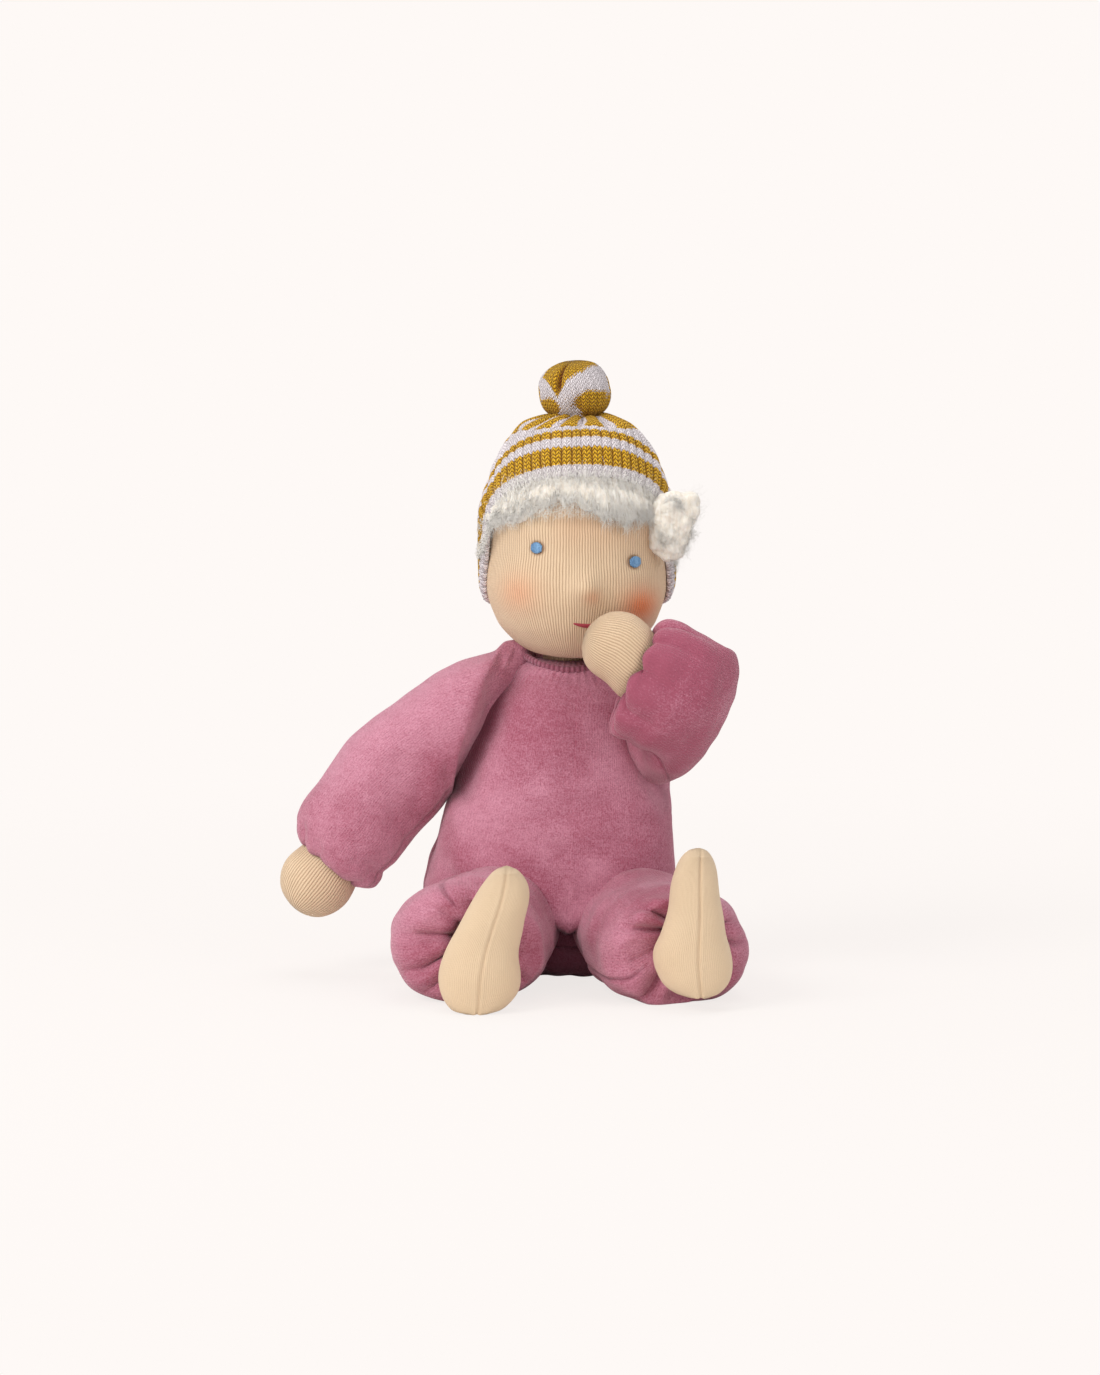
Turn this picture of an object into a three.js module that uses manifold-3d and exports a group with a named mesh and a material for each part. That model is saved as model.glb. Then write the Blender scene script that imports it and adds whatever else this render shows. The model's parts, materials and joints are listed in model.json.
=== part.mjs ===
// A seated waldorf doll: velour suit, stuffed limbs, wound wool head in tricot, wig and rib-knitted cap.
// Millimetres, +Z up. The doll faces -Y and its left hand is on the +X side.
// The origin lies on the flat of the seat, under the body.

import * as THREE from 'three';
import { mergeVertices } from 'three/addons/utils/BufferGeometryUtils.js';
import Module from 'manifold-3d';

const wasm = await Module();
wasm.setup();

// Cloth and clearances
const velour_thickness = 1.2;
const tricot_thickness = 0.9;
const rib_knit_thickness = 2.3;
const wig_backing_thickness = 1;
const wig_gap = 0.5;
const cap_ease = 0.7;
const seam_gap = 0.3;
const filling_gap = 0.5;
const socket_gap = 0.35;
const flat_cut_depth = 0.5;
const cut_overrun = 300;

// Torso
const torso_height = 121;
const torso_half_width = 47;
const torso_half_depth = 34;
const torso_forward = -10;
const torso_aside = -3.5;
// Height, half width, half depth and sideways place, as shares of the torso's own sizes
const torso_form_shares = [
  [0, 0.76, 0.74, 0],
  [0.05, 0.91, 0.9, 0.4],
  [0.13, 0.985, 0.98, 0.8],
  [0.29, 1, 1, 1],
  [0.54, 0.915, 0.95, 0.9],
  [0.7, 0.84, 0.88, 0.5],
  [0.83, 0.74, 0.77, 0],
  [0.91, 0.64, 0.65, -0.2],
  [0.965, 0.5, 0.52, -0.35],
  [1, 0.34, 0.4, -0.4],
];

// Neck and collar
const neck_aside = 1.5;
const neck_forward = -9;
const neck_radius = 10.5;
const neck_top_radius = 9.5;
const neck_length = 11;
const neck_taper_share = 0.25;
const collar_inner_radius = 12;
const collar_width = 3.6;
const collar_height = 2.6;
const neck_thread_radius = 0.6;

// Head, with its shares of height and radius from the neck opening over the cheeks to the crown
const head_half_width = 35;
const head_half_depth = 36;
const head_height = 85;
const head_chin_height = 124;
const head_aside = 4.2;
const head_forward = -12;
const head_form_shares = [
  [0.047, 0.44],
  [0.02, 0.52],
  [0.024, 0.62],
  [0.075, 0.74],
  [0.125, 0.835],
  [0.18, 0.905],
  [0.27, 0.97],
  [0.4, 1],
  [0.52, 0.99],
  [0.64, 0.95],
  [0.76, 0.855],
  [0.87, 0.69],
  [0.95, 0.46],
  [1, 0],
];

// The outline's point at which the wound core starts, above the neck's top
const head_core_start = 4;

// Face, as sideways place and height on the head's front
const eye_radius = 2.4;
const eye_relief = 0.8;
const eye_right_place = { aside: -11.3, height: 166.3 };
const eye_left_place = { aside: 25.5, height: 161.1 };
const nose_place = { aside: 7.4, height: 152 };
const nose_radius = 4.6;
const nose_relief = 2.6;
const mouth_thread_radius = 0.7;
// Sideways place and height along the smile, as shares of the head's half width and height
const mouth_shares = [
  [-0.046, 0.165],
  [0.04, 0.148],
  [0.131, 0.141],
  [0.21, 0.145],
  [0.28, 0.154],
];

// Wig, as heights over the head's own height: its rings under the cap, then the fringe's top, fullest line and hem
const wig_crown_shares = [1, 0.95, 0.87];
const fringe_shares = [0.775, 0.71];
const fringe_start_arc = 36;
const fringe_hem_middle_share = 0.645;
const fringe_hem_side_share = 0.575;
const fringe_thickness = 5;
const fringe_full_angle = 36;
const fringe_end_angle = 54;
const tuft_half_width = 13.5;
const tuft_half_depth = 5.5;
const tuft_half_height = 13;
const tuft_aside = 34;
const tuft_forward = -27;
const tuft_height = 174;

// Cap, with an arched opening for the face
const hat_side_arc = 78;
const hat_back_arc = 84;
const hat_opening_half_width = 35.5;
const hat_opening_corner = 22;
const hat_opening_height = 195.5;
const hat_opening_forward = -27;
const hat_opening_tilt = 3;

// Bobble
const bobble_half_width = 13.8;
const bobble_half_height = 10.6;
const bobble_neck_radius = 6;
const bobble_neck_height = 1.9;
const bobble_forward = 2;
const bobble_thread_radius = 0.6;

// Arms
const shoulder_half_spacing = 35;
const shoulder_height = 101;
const shoulder_radius = 22.5;
const upper_arm_length = 47;
const upper_arm_half_width = 24;
const elbow_radius = 19.3;
const elbow_relief = 4;
const forearm_length = 30;
const forearm_half_width = 22;
const arm_depth_share = 0.9;
const upper_arm_swell_shares = [
  [0, 0.94],
  [0.3, 1],
  [0.65, 0.98],
  [1, 0.9],
];
const forearm_swell_shares = [
  [0, 0.877],
  [0.3, 0.99],
  [0.65, 0.95],
  [1, 0.66],
];
const arm_right_direction = { aside: -0.77, forward: -0.06, up: -0.635 };
const forearm_right_direction = { aside: -0.58, forward: -0.04, up: -0.815 };
const arm_left_direction = { aside: 0.25, forward: -0.93, up: 0.27 };
const forearm_left_direction = { aside: -0.905, forward: 0.02, up: 0.425 };
const elbow_right_fold = 80;

// Hands
const hand_radius = 13.2;
const hand_length = 21.5;
const hand_depth_share = 0.8;
const cuff_set_back = 2.4;
const wrist_thread_radius = 0.5;
const wrist_turn = 15;

// Legs
const hip_half_spacing = 24;
const hip_forward = -33;
const hip_height = 22;
const hip_radius = 20;
const leg_length = 54;
const leg_half_width = 28.5;
const leg_half_height = 22.5;
const leg_side_shares = [
  [0, 0.702],
  [0.2, 0.78],
  [0.45, 0.93],
  [0.7, 1],
  [0.84, 0.92],
  [0.92, 0.68],
  [0.95, 0.4],
  [1, 0.38],
];
const leg_height_shares = [
  [0, 0.889],
  [0.2, 0.95],
  [0.45, 1],
  [0.7, 1],
  [0.84, 0.9],
  [0.92, 0.7],
  [0.95, 0.5],
  [1, 0.48],
];
const leg_right_bow = -8;
const leg_left_bow = 3;
const leg_right_splay = 6.8;
const leg_left_splay = 17;
const leg_down_splay = 20;
const leg_up_angle = 10;
const hip_sweep_ease = 4;
const ankle_thread_radius = 0.6;

// Feet
const ankle_radius = 8.6;
const ankle_place = 57;
const foot_height = 57;
const foot_half_width = 15.8;
const foot_half_depth = 11.5;
const sole_place = 79;
const foot_right_lean = 9;
const foot_left_lean = 0;
const foot_edge_share = 0.1;
const foot_form_shares = [
  [0, 0.5, 0.5],
  [0.08, 0.83, 0.83],
  [0.26, 1, 1],
  [0.44, 0.89, 0.85],
  [0.64, 0.65, 0.61],
  [0.84, 0.46, 0.43],
  [0.96, 0.27, 0.25],
  [1, 0, 0],
];

// Faces round each form
const torso_sides = 22;
const head_sides = 20;
const hat_steps = 8;
const limb_sides = 12;
const limb_steps = 4;
const leg_sides = 14;
const leg_steps = 7;
const root_steps = 3;
const hand_sides = 12;
const foot_sides = 12;
const pad_sides = 10;
const thread_sides = 4;
const thread_steps = 12;
const profile_steps = 60;

// Finishes
const velour = new THREE.MeshStandardMaterial({ color: 0xb8778c, roughness: 0.9, metalness: 0 });
const tricot = new THREE.MeshStandardMaterial({ color: 0xdcb78f, roughness: 0.85, metalness: 0 });
const mohair = new THREE.MeshStandardMaterial({ color: 0xe8dccb, roughness: 0.95, metalness: 0 });
const rib_knit = new THREE.MeshStandardMaterial({ color: 0xc39748, roughness: 0.9, metalness: 0 });
const wool_filling = new THREE.MeshStandardMaterial({ color: 0xe6dccb, roughness: 1, metalness: 0 });
const eye_thread = new THREE.MeshStandardMaterial({ color: 0x688aaf, roughness: 0.5, metalness: 0 });
const mouth_thread = new THREE.MeshStandardMaterial({ color: 0xaf484d, roughness: 0.5, metalness: 0 });
const sewing_thread = new THREE.MeshStandardMaterial({ color: 0xc9a9a4, roughness: 0.6, metalness: 0 });

// Geometry helpers

// A closed body through rings of points. A ring of one point is a pole; joined rings close on themselves.
function ringBody(rings, joined = false) {
  const positions = [];
  const starts = [];
  for (const ring of rings) {
    starts.push(positions.length / 3);
    for (const point of ring) {
      positions.push(point.x, point.y, point.z);
    }
  }
  const faces = [];
  const bands = joined ? rings.length : rings.length - 1;
  for (let band = 0; band < bands; band += 1) {
    const following = (band + 1) % rings.length;
    const here_round = rings[band].length > 1;
    const next_round = rings[following].length > 1;
    const count = Math.max(rings[band].length, rings[following].length);
    for (let side = 0; side < count; side += 1) {
      const turn = (side + 1) % count;
      if (here_round) {
        faces.push(starts[band] + side, starts[band] + turn, starts[following] + (next_round ? turn : 0));
      }
      if (next_round) {
        faces.push(starts[band] + (here_round ? side : 0), starts[following] + turn, starts[following] + side);
      }
    }
  }
  const geometry = new THREE.BufferGeometry();
  geometry.setAttribute('position', new THREE.Float32BufferAttribute(positions, 3));
  geometry.setIndex(faces);
  return outward(geometry);
}

// Six times the volume that a geometry's triangles enclose
function enclosed(geometry) {
  const index = geometry.getIndex().array;
  const place = geometry.getAttribute('position');
  const corner = [new THREE.Vector3(), new THREE.Vector3(), new THREE.Vector3()];
  let total = 0;
  for (let i = 0; i < index.length; i += 3) {
    corner.forEach((point, k) => point.fromBufferAttribute(place, index[i + k]));
    total += corner[0].dot(corner[1].cross(corner[2]));
  }
  return total;
}

// The same geometry with its faces pointing out
function outward(geometry) {
  if (enclosed(geometry) < 0) {
    const index = geometry.getIndex().array;
    for (let i = 0; i < index.length; i += 3) {
      [index[i], index[i + 1]] = [index[i + 1], index[i]];
    }
  }
  return geometry;
}

// Shared vertices merged and flat triangles dropped, as a boolean needs
function weld(source) {
  const bare = source.clone();
  bare.deleteAttribute('normal');
  bare.deleteAttribute('uv');
  const welded = mergeVertices(bare);
  const index = welded.getIndex().array;
  const kept = [];
  for (let i = 0; i < index.length; i += 3) {
    const corners = [index[i], index[i + 1], index[i + 2]];
    if (new Set(corners).size === 3) {
      kept.push(...corners);
    }
  }
  welded.setIndex(kept);
  return outward(welded);
}

function toSolid(geometry) {
  return new wasm.Manifold(new wasm.Mesh({
    numProp: 3,
    vertProperties: new Float32Array(geometry.getAttribute('position').array),
    triVerts: new Uint32Array(geometry.getIndex().array),
  }));
}

function toGeometry(solid) {
  const mesh = solid.getMesh();
  const geometry = new THREE.BufferGeometry();
  geometry.setAttribute('position', new THREE.Float32BufferAttribute(mesh.vertProperties, 3));
  geometry.setIndex(Array.from(mesh.triVerts));
  return geometry;
}

// The main body of a cut form, without the crumbs that a cut leaves
function mainBody(solid) {
  const bodies = solid.decompose();
  return bodies.reduce((largest, body) => (body.volume() > largest.volume() ? body : largest));
}

// A form less each cutter, all in the same frame
function carve(geometry, cutters) {
  let solid = toSolid(geometry);
  for (const cutter of cutters) {
    solid = solid.subtract(toSolid(cutter));
  }
  return toGeometry(mainBody(solid));
}

function keepWithin(geometry, region) {
  return toGeometry(mainBody(toSolid(geometry).intersect(toSolid(region))));
}

// A socket's cutter: a ball whose flats, not its corners, keep the clearance
function socketBall(radius, centre, sides) {
  const flat_share = Math.cos(Math.PI / sides) ** 2;
  const ball = new THREE.SphereGeometry((radius + socket_gap) / flat_share, sides, sides / 2);
  ball.translate(centre.x, centre.y, centre.z);
  return weld(ball);
}

// A box from its two corners
function corners(low, high) {
  const size = high.clone().sub(low);
  const box = new THREE.BoxGeometry(size.x, size.y, size.z);
  box.translate((low.x + high.x) / 2, (low.y + high.y) / 2, (low.z + high.z) / 2);
  return weld(box);
}

// Everything under the plane that the doll sits on
function floorBlock() {
  const reach = cut_overrun;
  return corners(new THREE.Vector3(-reach, -reach, -reach), new THREE.Vector3(reach, reach, 0));
}

// A geometry moved from one group's frame into another's; no group stands for the doll's own frame
function moved(geometry, from, to) {
  const matrix = new THREE.Matrix4();
  if (to) {
    matrix.copy(to.matrixWorld).invert();
  }
  if (from) {
    matrix.multiply(from.matrixWorld);
  }
  const copy = geometry.clone();
  copy.applyMatrix4(matrix);
  return copy;
}

// A geometry turned about an axis through the frame's origin
function turnedAbout(geometry, axis, degrees) {
  const copy = geometry.clone();
  copy.applyMatrix4(new THREE.Matrix4().makeRotationAxis(axis, THREE.MathUtils.degToRad(degrees)));
  return copy;
}

function smooth(low, high, value) {
  return THREE.MathUtils.smoothstep(value, low, high);
}

// A smooth curve through a table of shares, as points of place and size
function sharedCurve(shares, length, size, steps) {
  const points = shares.map(([place, share]) => new THREE.Vector2(place * length, share * size));
  return new THREE.SplineCurve(points).getPoints(steps);
}

// The same outline set in by a distance; a point on the axis stays on it
function inset(outline, distance) {
  return outline.map((point, i) => {
    const before = outline[Math.max(i - 1, 0)];
    const after = outline[Math.min(i + 1, outline.length - 1)];
    if (point.y === 0) {
      return new THREE.Vector2(point.x + (i === 0 ? distance : -distance), 0);
    }
    const run = after.clone().sub(before).normalize();
    return new THREE.Vector2(point.x + run.y * distance, point.y - run.x * distance);
  });
}

// Rings about +Z from an outline of place and radius, widened, flattened and shifted along their length
function turnedRings(outline, sides, section) {
  return outline.map((point) => {
    const { wide, deep, aside = 0 } = section(point.x);
    if (point.y === 0) {
      return [new THREE.Vector3(0, 0, point.x)];
    }
    return Array.from({ length: sides }, (_, k) => {
      const angle = (2 * Math.PI * k) / sides;
      return new THREE.Vector3(
        point.y * wide * Math.cos(angle) + aside,
        point.y * deep * Math.sin(angle),
        point.x,
      );
    });
  });
}

const round_section = () => ({ wide: 1, deep: 1 });

// An outline closed onto the axis at its far end
function capped(outline) {
  const end = outline[outline.length - 1];
  return [...outline, new THREE.Vector2(end.x, 0)];
}

// A thread ring about +Z that clears a radius
function threadRing(clear, thread, height) {
  const radius = (clear + thread) / Math.cos(Math.PI / thread_steps);
  const ring = new THREE.TorusGeometry(radius, thread, thread_sides, thread_steps);
  ring.translate(0, 0, height);
  return weld(ring);
}

function named(name, geometry, material) {
  const mesh = new THREE.Mesh(geometry, material);
  mesh.name = name;
  return mesh;
}

function direction(shares) {
  return new THREE.Vector3(shares.aside, shares.forward, shares.up).normalize();
}

// A group at a joint, its +Z along the limb and its +X along the given width
function jointGroup(parent, place, along, wide) {
  const group = new THREE.Group();
  const flat = wide.clone().addScaledVector(along, -wide.dot(along)).normalize();
  const deep = along.clone().cross(flat);
  group.position.copy(place);
  group.quaternion.setFromRotationMatrix(new THREE.Matrix4().makeBasis(flat, deep, along));
  parent.add(group);
  group.updateMatrixWorld(true);
  return group;
}

const doll = new THREE.Group();

// Head form

const head_centre = new THREE.Vector3(head_aside, head_forward, head_chin_height);
const head_outline = sharedCurve(head_form_shares, head_height, head_half_width, head_form_shares.length - 1);
const head_section = () => ({ wide: 1, deep: head_half_depth / head_half_width });

function headRings(outline) {
  const rings = turnedRings(outline, head_sides, head_section);
  return rings.map((ring) => ring.map((point) => point.add(head_centre)));
}

// The head's outline from the crown down, finely stepped, for what lies over it
const crown_outline = sharedCurve(head_form_shares, head_height, head_half_width, profile_steps).reverse();

// A point over the head: an arc down from the crown, an angle round from the face, and a distance off it.
// Straight walls fall plumb from the widest ring, so that a cap can be pulled off.
function overHead(arc, angle, distance, straight) {
  let walked = 0;
  let k = 1;
  let step = crown_outline[1].distanceTo(crown_outline[0]);
  while (k < crown_outline.length - 1 && walked + step < arc) {
    if (straight && crown_outline[k + 1].y < crown_outline[k].y) {
      break;
    }
    walked += step;
    k += 1;
    step = crown_outline[k].distanceTo(crown_outline[k - 1]);
  }
  const share = (arc - walked) / step;
  const run = crown_outline[k].clone().sub(crown_outline[k - 1]);
  const plumb = straight && share > 1;
  const base = crown_outline[k - 1].clone().addScaledVector(run, plumb ? 1 : share);
  if (plumb) {
    base.x -= arc - walked - step;
    run.set(-1, 0);
  }
  run.normalize();
  const radius = Math.max(base.y - run.x * distance, 0);
  const height = base.x + run.y * distance;
  return new THREE.Vector3(
    radius * Math.sin(angle),
    -radius * Math.cos(angle) * (head_half_depth / head_half_width),
    height,
  ).add(head_centre);
}

// The half width of the head's outline at a height
function headRadius(height) {
  const below = height - head_chin_height;
  const k = crown_outline.findIndex((point) => point.x < below);
  const high = crown_outline[k - 1];
  const low = crown_outline[k];
  return THREE.MathUtils.mapLinear(below, low.x, high.x, low.y, high.y);
}

// A point on the face, and how far it stands off
function facePoint(place, relief) {
  const radius = headRadius(place.height) + relief;
  const aside = place.aside - head_aside;
  const forward = -Math.sqrt(radius ** 2 - aside ** 2) * (head_half_depth / head_half_width);
  return new THREE.Vector3(place.aside, head_forward + forward, place.height);
}

// A low round pad stitched or pushed up on the face, cut back to the tricot
function facePad(place, radius, relief, keep_off) {
  const centre = facePoint(place, 0);
  const facing = new THREE.Vector3(centre.x - head_centre.x, centre.y - head_centre.y, 0).normalize();
  const pad = new THREE.SphereGeometry(1, pad_sides, pad_sides / 2);
  pad.scale(radius, radius, relief);
  pad.applyQuaternion(new THREE.Quaternion().setFromUnitVectors(new THREE.Vector3(0, 0, 1), facing));
  pad.translate(centre.x, centre.y, centre.z);
  return carve(weld(pad), [keep_off]);
}

const face_keep_off = ringBody(headRings(capped(inset(head_outline, -seam_gap).reverse())));

function headSkin() {
  const inner = inset(head_outline, tricot_thickness).reverse();
  return ringBody(headRings([...head_outline, ...inner]), true);
}

// The wound ball inside the tricot, flat underneath where it rests on the neck
function headCore() {
  const outline = inset(head_outline, tricot_thickness + seam_gap).slice(head_core_start).reverse();
  return ringBody(headRings(capped(outline)));
}

function mouthThread() {
  const lift = seam_gap + mouth_thread_radius;
  const path = new THREE.CatmullRomCurve3(mouth_shares.map(([aside, height]) => facePoint({
    aside: head_aside + head_half_width * aside,
    height: head_chin_height + head_height * height,
  }, lift)));
  const section = new THREE.Shape();
  section.absarc(0, 0, mouth_thread_radius, 0, 2 * Math.PI);
  const thread = new THREE.ExtrudeGeometry(section, {
    steps: mouth_shares.length + 1,
    bevelEnabled: false,
    curveSegments: thread_sides,
    extrudePath: path,
  });
  return weld(thread);
}

// The cap's lower edge, as an arc down from the crown: lower at the nape than at the sides
function hatEdgeArc(angle) {
  return THREE.MathUtils.lerp(hat_side_arc, hat_back_arc, (1 - Math.cos(angle)) / 2);
}

function ringAngles(sides) {
  return Array.from({ length: sides }, (_, k) => (k / sides - 0.5) * 2 * Math.PI);
}

const hat_inside = wig_gap + wig_backing_thickness + cap_ease;
const hat_outside = hat_inside + rib_knit_thickness;

// One side of the cap's wall, from the crown to the edge
function hatWall(distance) {
  const rings = [[overHead(0, 0, distance, true)]];
  for (let step = 1; step <= hat_steps; step += 1) {
    const share = step / hat_steps;
    rings.push(ringAngles(head_sides).map((angle) => overHead(hatEdgeArc(angle) * share, angle, distance, true)));
  }
  return rings;
}

// The face opening's block: an arch seen from the front, tilted a little with the cap
function hatOpening(margin) {
  const half = hat_opening_half_width - margin;
  const corner = hat_opening_corner - margin;
  const arch = new THREE.Shape();
  arch.moveTo(-half, -cut_overrun);
  arch.lineTo(half, -cut_overrun);
  arch.lineTo(half, -corner);
  arch.absellipse(0, -corner, half, corner, 0, Math.PI, false);
  const block = new THREE.ExtrudeGeometry(arch, { depth: cut_overrun, bevelEnabled: false, curveSegments: head_sides });
  block.rotateX(Math.PI / 2);
  block.rotateY(-THREE.MathUtils.degToRad(hat_opening_tilt));
  block.translate(head_aside, hat_opening_forward, hat_opening_height - margin);
  return weld(block);
}

// The cap between two distances off the head, open at the face
function hatShell(outside, inside, margin) {
  const cap = ringBody([...hatWall(outside), ...hatWall(inside).reverse()]);
  return carve(cap, [hatOpening(margin)]);
}

// The arc down from the crown to a share of the head's height
function crownArc(height_share) {
  let walked = 0;
  let k = 1;
  while (k < crown_outline.length - 1 && crown_outline[k].x > head_height * height_share) {
    walked += crown_outline[k].distanceTo(crown_outline[k - 1]);
    k += 1;
  }
  const step = crown_outline[k].distanceTo(crown_outline[k - 1]);
  const fall = crown_outline[k - 1].x - head_height * height_share;
  return walked + step * (fall / (crown_outline[k - 1].x - crown_outline[k].x));
}

// The wig: a thin backing under the cap that thickens into a fringe below the cap's front edge
function wig() {
  const fringe = (angle) => {
    const off_face = Math.abs(THREE.MathUtils.radToDeg(angle));
    return 1 - smooth(fringe_full_angle, fringe_end_angle, off_face);
  };
  const hem = (angle) => THREE.MathUtils.lerp(fringe_hem_side_share, fringe_hem_middle_share, Math.cos(angle) ** 4);
  const wall = (outer) => {
    const backing = wig_gap + (outer ? wig_backing_thickness : 0);
    const full = outer ? fringe_thickness - wig_backing_thickness : 0;
    const crown = wig_crown_shares.slice(1).map((share) => (
      ringAngles(head_sides).map((angle) => overHead(crownArc(share), angle, backing, false))
    ));
    const front = fringe_shares.map((share) => (
      ringAngles(head_sides).map((angle) => overHead(crownArc(share), angle, backing + full * fringe(angle), false))
    ));
    const edge = ringAngles(head_sides).map((angle) => overHead(crownArc(hem(angle)), angle, backing, false));
    const rim = ringAngles(head_sides).map((angle) => overHead(fringe_start_arc, angle, backing, false));
    return [[overHead(0, 0, backing, false)], ...crown, rim, ...front, edge];
  };
  const cap = ringBody([...wall(true), ...wall(false).reverse()]);
  const tuft = new THREE.SphereGeometry(1, pad_sides, pad_sides / 2);
  tuft.scale(tuft_half_width, tuft_half_depth, tuft_half_height);
  tuft.translate(head_aside + tuft_aside, head_forward + tuft_forward, tuft_height);
  const lock = carve(weld(tuft), [face_keep_off]);
  return carve(toGeometry(toSolid(cap).add(toSolid(lock))), [hat_keep_off]);
}

// The cap's wall with a seam gap all round, for what lies against it
const hat_keep_off = hatShell(hat_outside + seam_gap, hat_inside - seam_gap, seam_gap);

const crown_height = head_chin_height + head_height + hat_outside;
const bobble_axis = new THREE.Vector3(head_aside, head_forward + bobble_forward, crown_height);

function bobble() {
  const outline = [new THREE.Vector2(0, 0), new THREE.Vector2(0, bobble_neck_radius)];
  const middle = bobble_neck_height + bobble_half_height;
  const lowest = Math.PI - Math.asin(bobble_neck_radius / bobble_half_width);
  for (let step = 0; step < limb_steps; step += 1) {
    const angle = lowest * (1 - step / limb_steps);
    outline.push(new THREE.Vector2(
      middle + bobble_half_height * Math.cos(angle),
      bobble_half_width * Math.sin(angle),
    ));
  }
  outline.push(new THREE.Vector2(middle + bobble_half_height, 0));
  const ball = ringBody(turnedRings(outline, limb_sides, round_section));
  ball.translate(bobble_axis.x, bobble_axis.y, bobble_axis.z);
  return carve(ball, [hat_keep_off]);
}

function bobbleThread() {
  const thread_place = seam_gap + bobble_thread_radius;
  const ring = threadRing(bobble_neck_radius + seam_gap, bobble_thread_radius, thread_place);
  ring.translate(bobble_axis.x, bobble_axis.y, bobble_axis.z);
  return ring;
}

function buildHead() {
  const head = new THREE.Group();
  head.add(named('head_core', headCore(), wool_filling));
  head.add(named('head_skin', headSkin(), tricot));
  head.add(named('nose', facePad(nose_place, nose_radius, nose_relief, face_keep_off), tricot));
  head.add(named('eye_right', facePad(eye_right_place, eye_radius, eye_relief, face_keep_off), eye_thread));
  head.add(named('eye_left', facePad(eye_left_place, eye_radius, eye_relief, face_keep_off), eye_thread));
  head.add(named('mouth', mouthThread(), mouth_thread));
  head.add(named('hair', wig(), mohair));
  head.add(named('hat', hatShell(hat_outside, hat_inside, 0), rib_knit));
  head.add(named('hat_bobble', bobble(), rib_knit));
  head.add(named('bobble_thread', bobbleThread(), sewing_thread));
  return head;
}

// Limb skeleton: one group for each joint

const shoulder_place = (side) => new THREE.Vector3(
  side * shoulder_half_spacing,
  torso_forward,
  shoulder_height,
);
const hip_place = (side) => new THREE.Vector3(side * hip_half_spacing, hip_forward, hip_height);

function armGroups(side, upper_along, lower_along, fold_axis) {
  const upper = jointGroup(doll, shoulder_place(side), upper_along, fold_axis);
  const elbow = new THREE.Vector3(0, 0, upper_arm_length);
  const to_local = upper.quaternion.clone().invert();
  const lower = jointGroup(
    upper,
    elbow,
    lower_along.clone().applyQuaternion(to_local),
    fold_axis.clone().applyQuaternion(to_local),
  );
  const hand = jointGroup(
    lower,
    new THREE.Vector3(0, 0, forearm_length),
    new THREE.Vector3(0, 0, 1),
    new THREE.Vector3(1, 0, 0),
  );
  return { upper, lower, hand };
}

const forward = new THREE.Vector3(0, -1, 0);
const arm_right_along = direction(arm_right_direction);
const forearm_right_along = direction(forearm_right_direction);
const arm_left_along = direction(arm_left_direction);
const forearm_left_along = direction(forearm_left_direction);
const fold_right_axis = arm_right_along.clone().add(forearm_right_along).cross(forward).normalize();
const arms = {
  right: armGroups(-1, arm_right_along, forearm_right_along, fold_right_axis),
  left: armGroups(1, arm_left_along, forearm_left_along, arm_left_along.clone().cross(forearm_left_along).normalize()),
};

// The way a leg points when its foot is turned out from straight ahead, or from straight down
function legAlong(side, splay, down) {
  const angle = THREE.MathUtils.degToRad(splay);
  const main = down ? new THREE.Vector3(0, 0, -1) : forward.clone();
  return main.multiplyScalar(Math.cos(angle)).add(new THREE.Vector3(side * Math.sin(angle), 0, 0));
}

// A leg's hinge lies square to the way it points at rest and the way it points when it hangs.
// Its form is built level with the floor.
function legGroups(side, splay, lean) {
  const along = legAlong(side, splay, false);
  const hinge = along.clone().cross(legAlong(side, leg_down_splay, true)).normalize();
  const leg = jointGroup(doll, hip_place(side), along, hinge);
  const to_local = leg.quaternion.clone().invert();
  const level = new THREE.Vector3(1, 0, 0);
  const leaning = level.clone().applyAxisAngle(forward, THREE.MathUtils.degToRad(-lean));
  const straight = new THREE.Vector3(0, 0, 1);
  const form = jointGroup(leg, new THREE.Vector3(), straight, level.applyQuaternion(to_local));
  const ankle = new THREE.Vector3(0, 0, ankle_place);
  const foot = jointGroup(leg, ankle, straight, leaning.applyQuaternion(to_local));
  return { leg, form, foot };
}

const legs = {
  right: legGroups(-1, leg_right_splay, foot_right_lean),
  left: legGroups(1, leg_left_splay, foot_left_lean),
};

// Arms

// A round root about the joint at zero, then a swell along the limb
function limbOutline(root_radius, swell) {
  const root = [new THREE.Vector2(-root_radius, 0)];
  for (let step = 1; step < root_steps; step += 1) {
    const angle = (Math.PI / 2) * (step / root_steps);
    root.push(new THREE.Vector2(-root_radius * Math.cos(angle), root_radius * Math.sin(angle)));
  }
  return [...root, ...swell];
}

// An arm is round at its joints and a little flatter between them
function armSection(length) {
  return (place) => ({
    wide: 1,
    deep: 1 - (1 - arm_depth_share) * smooth(0, length / 2, place) * (1 - smooth(length / 2, length, place)),
  });
}

function shellRings(outline, thickness, sides, section) {
  const inner = inset(outline, thickness).reverse();
  return turnedRings([...outline, ...inner], sides, section);
}

const upper_swell_length = upper_arm_length - elbow_relief;
const upper_outline = limbOutline(
  shoulder_radius,
  sharedCurve(upper_arm_swell_shares, upper_swell_length, upper_arm_half_width, limb_steps),
);
const lower_swell_length = forearm_length - cuff_set_back;
const lower_outline = limbOutline(
  elbow_radius,
  sharedCurve(forearm_swell_shares, lower_swell_length, forearm_half_width, limb_steps),
);
const upper_keep_off = ringBody(
  turnedRings(capped(inset(upper_outline, -socket_gap)), limb_sides, armSection(upper_swell_length)),
);
const elbow_centre = new THREE.Vector3(0, 0, upper_arm_length);

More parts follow.
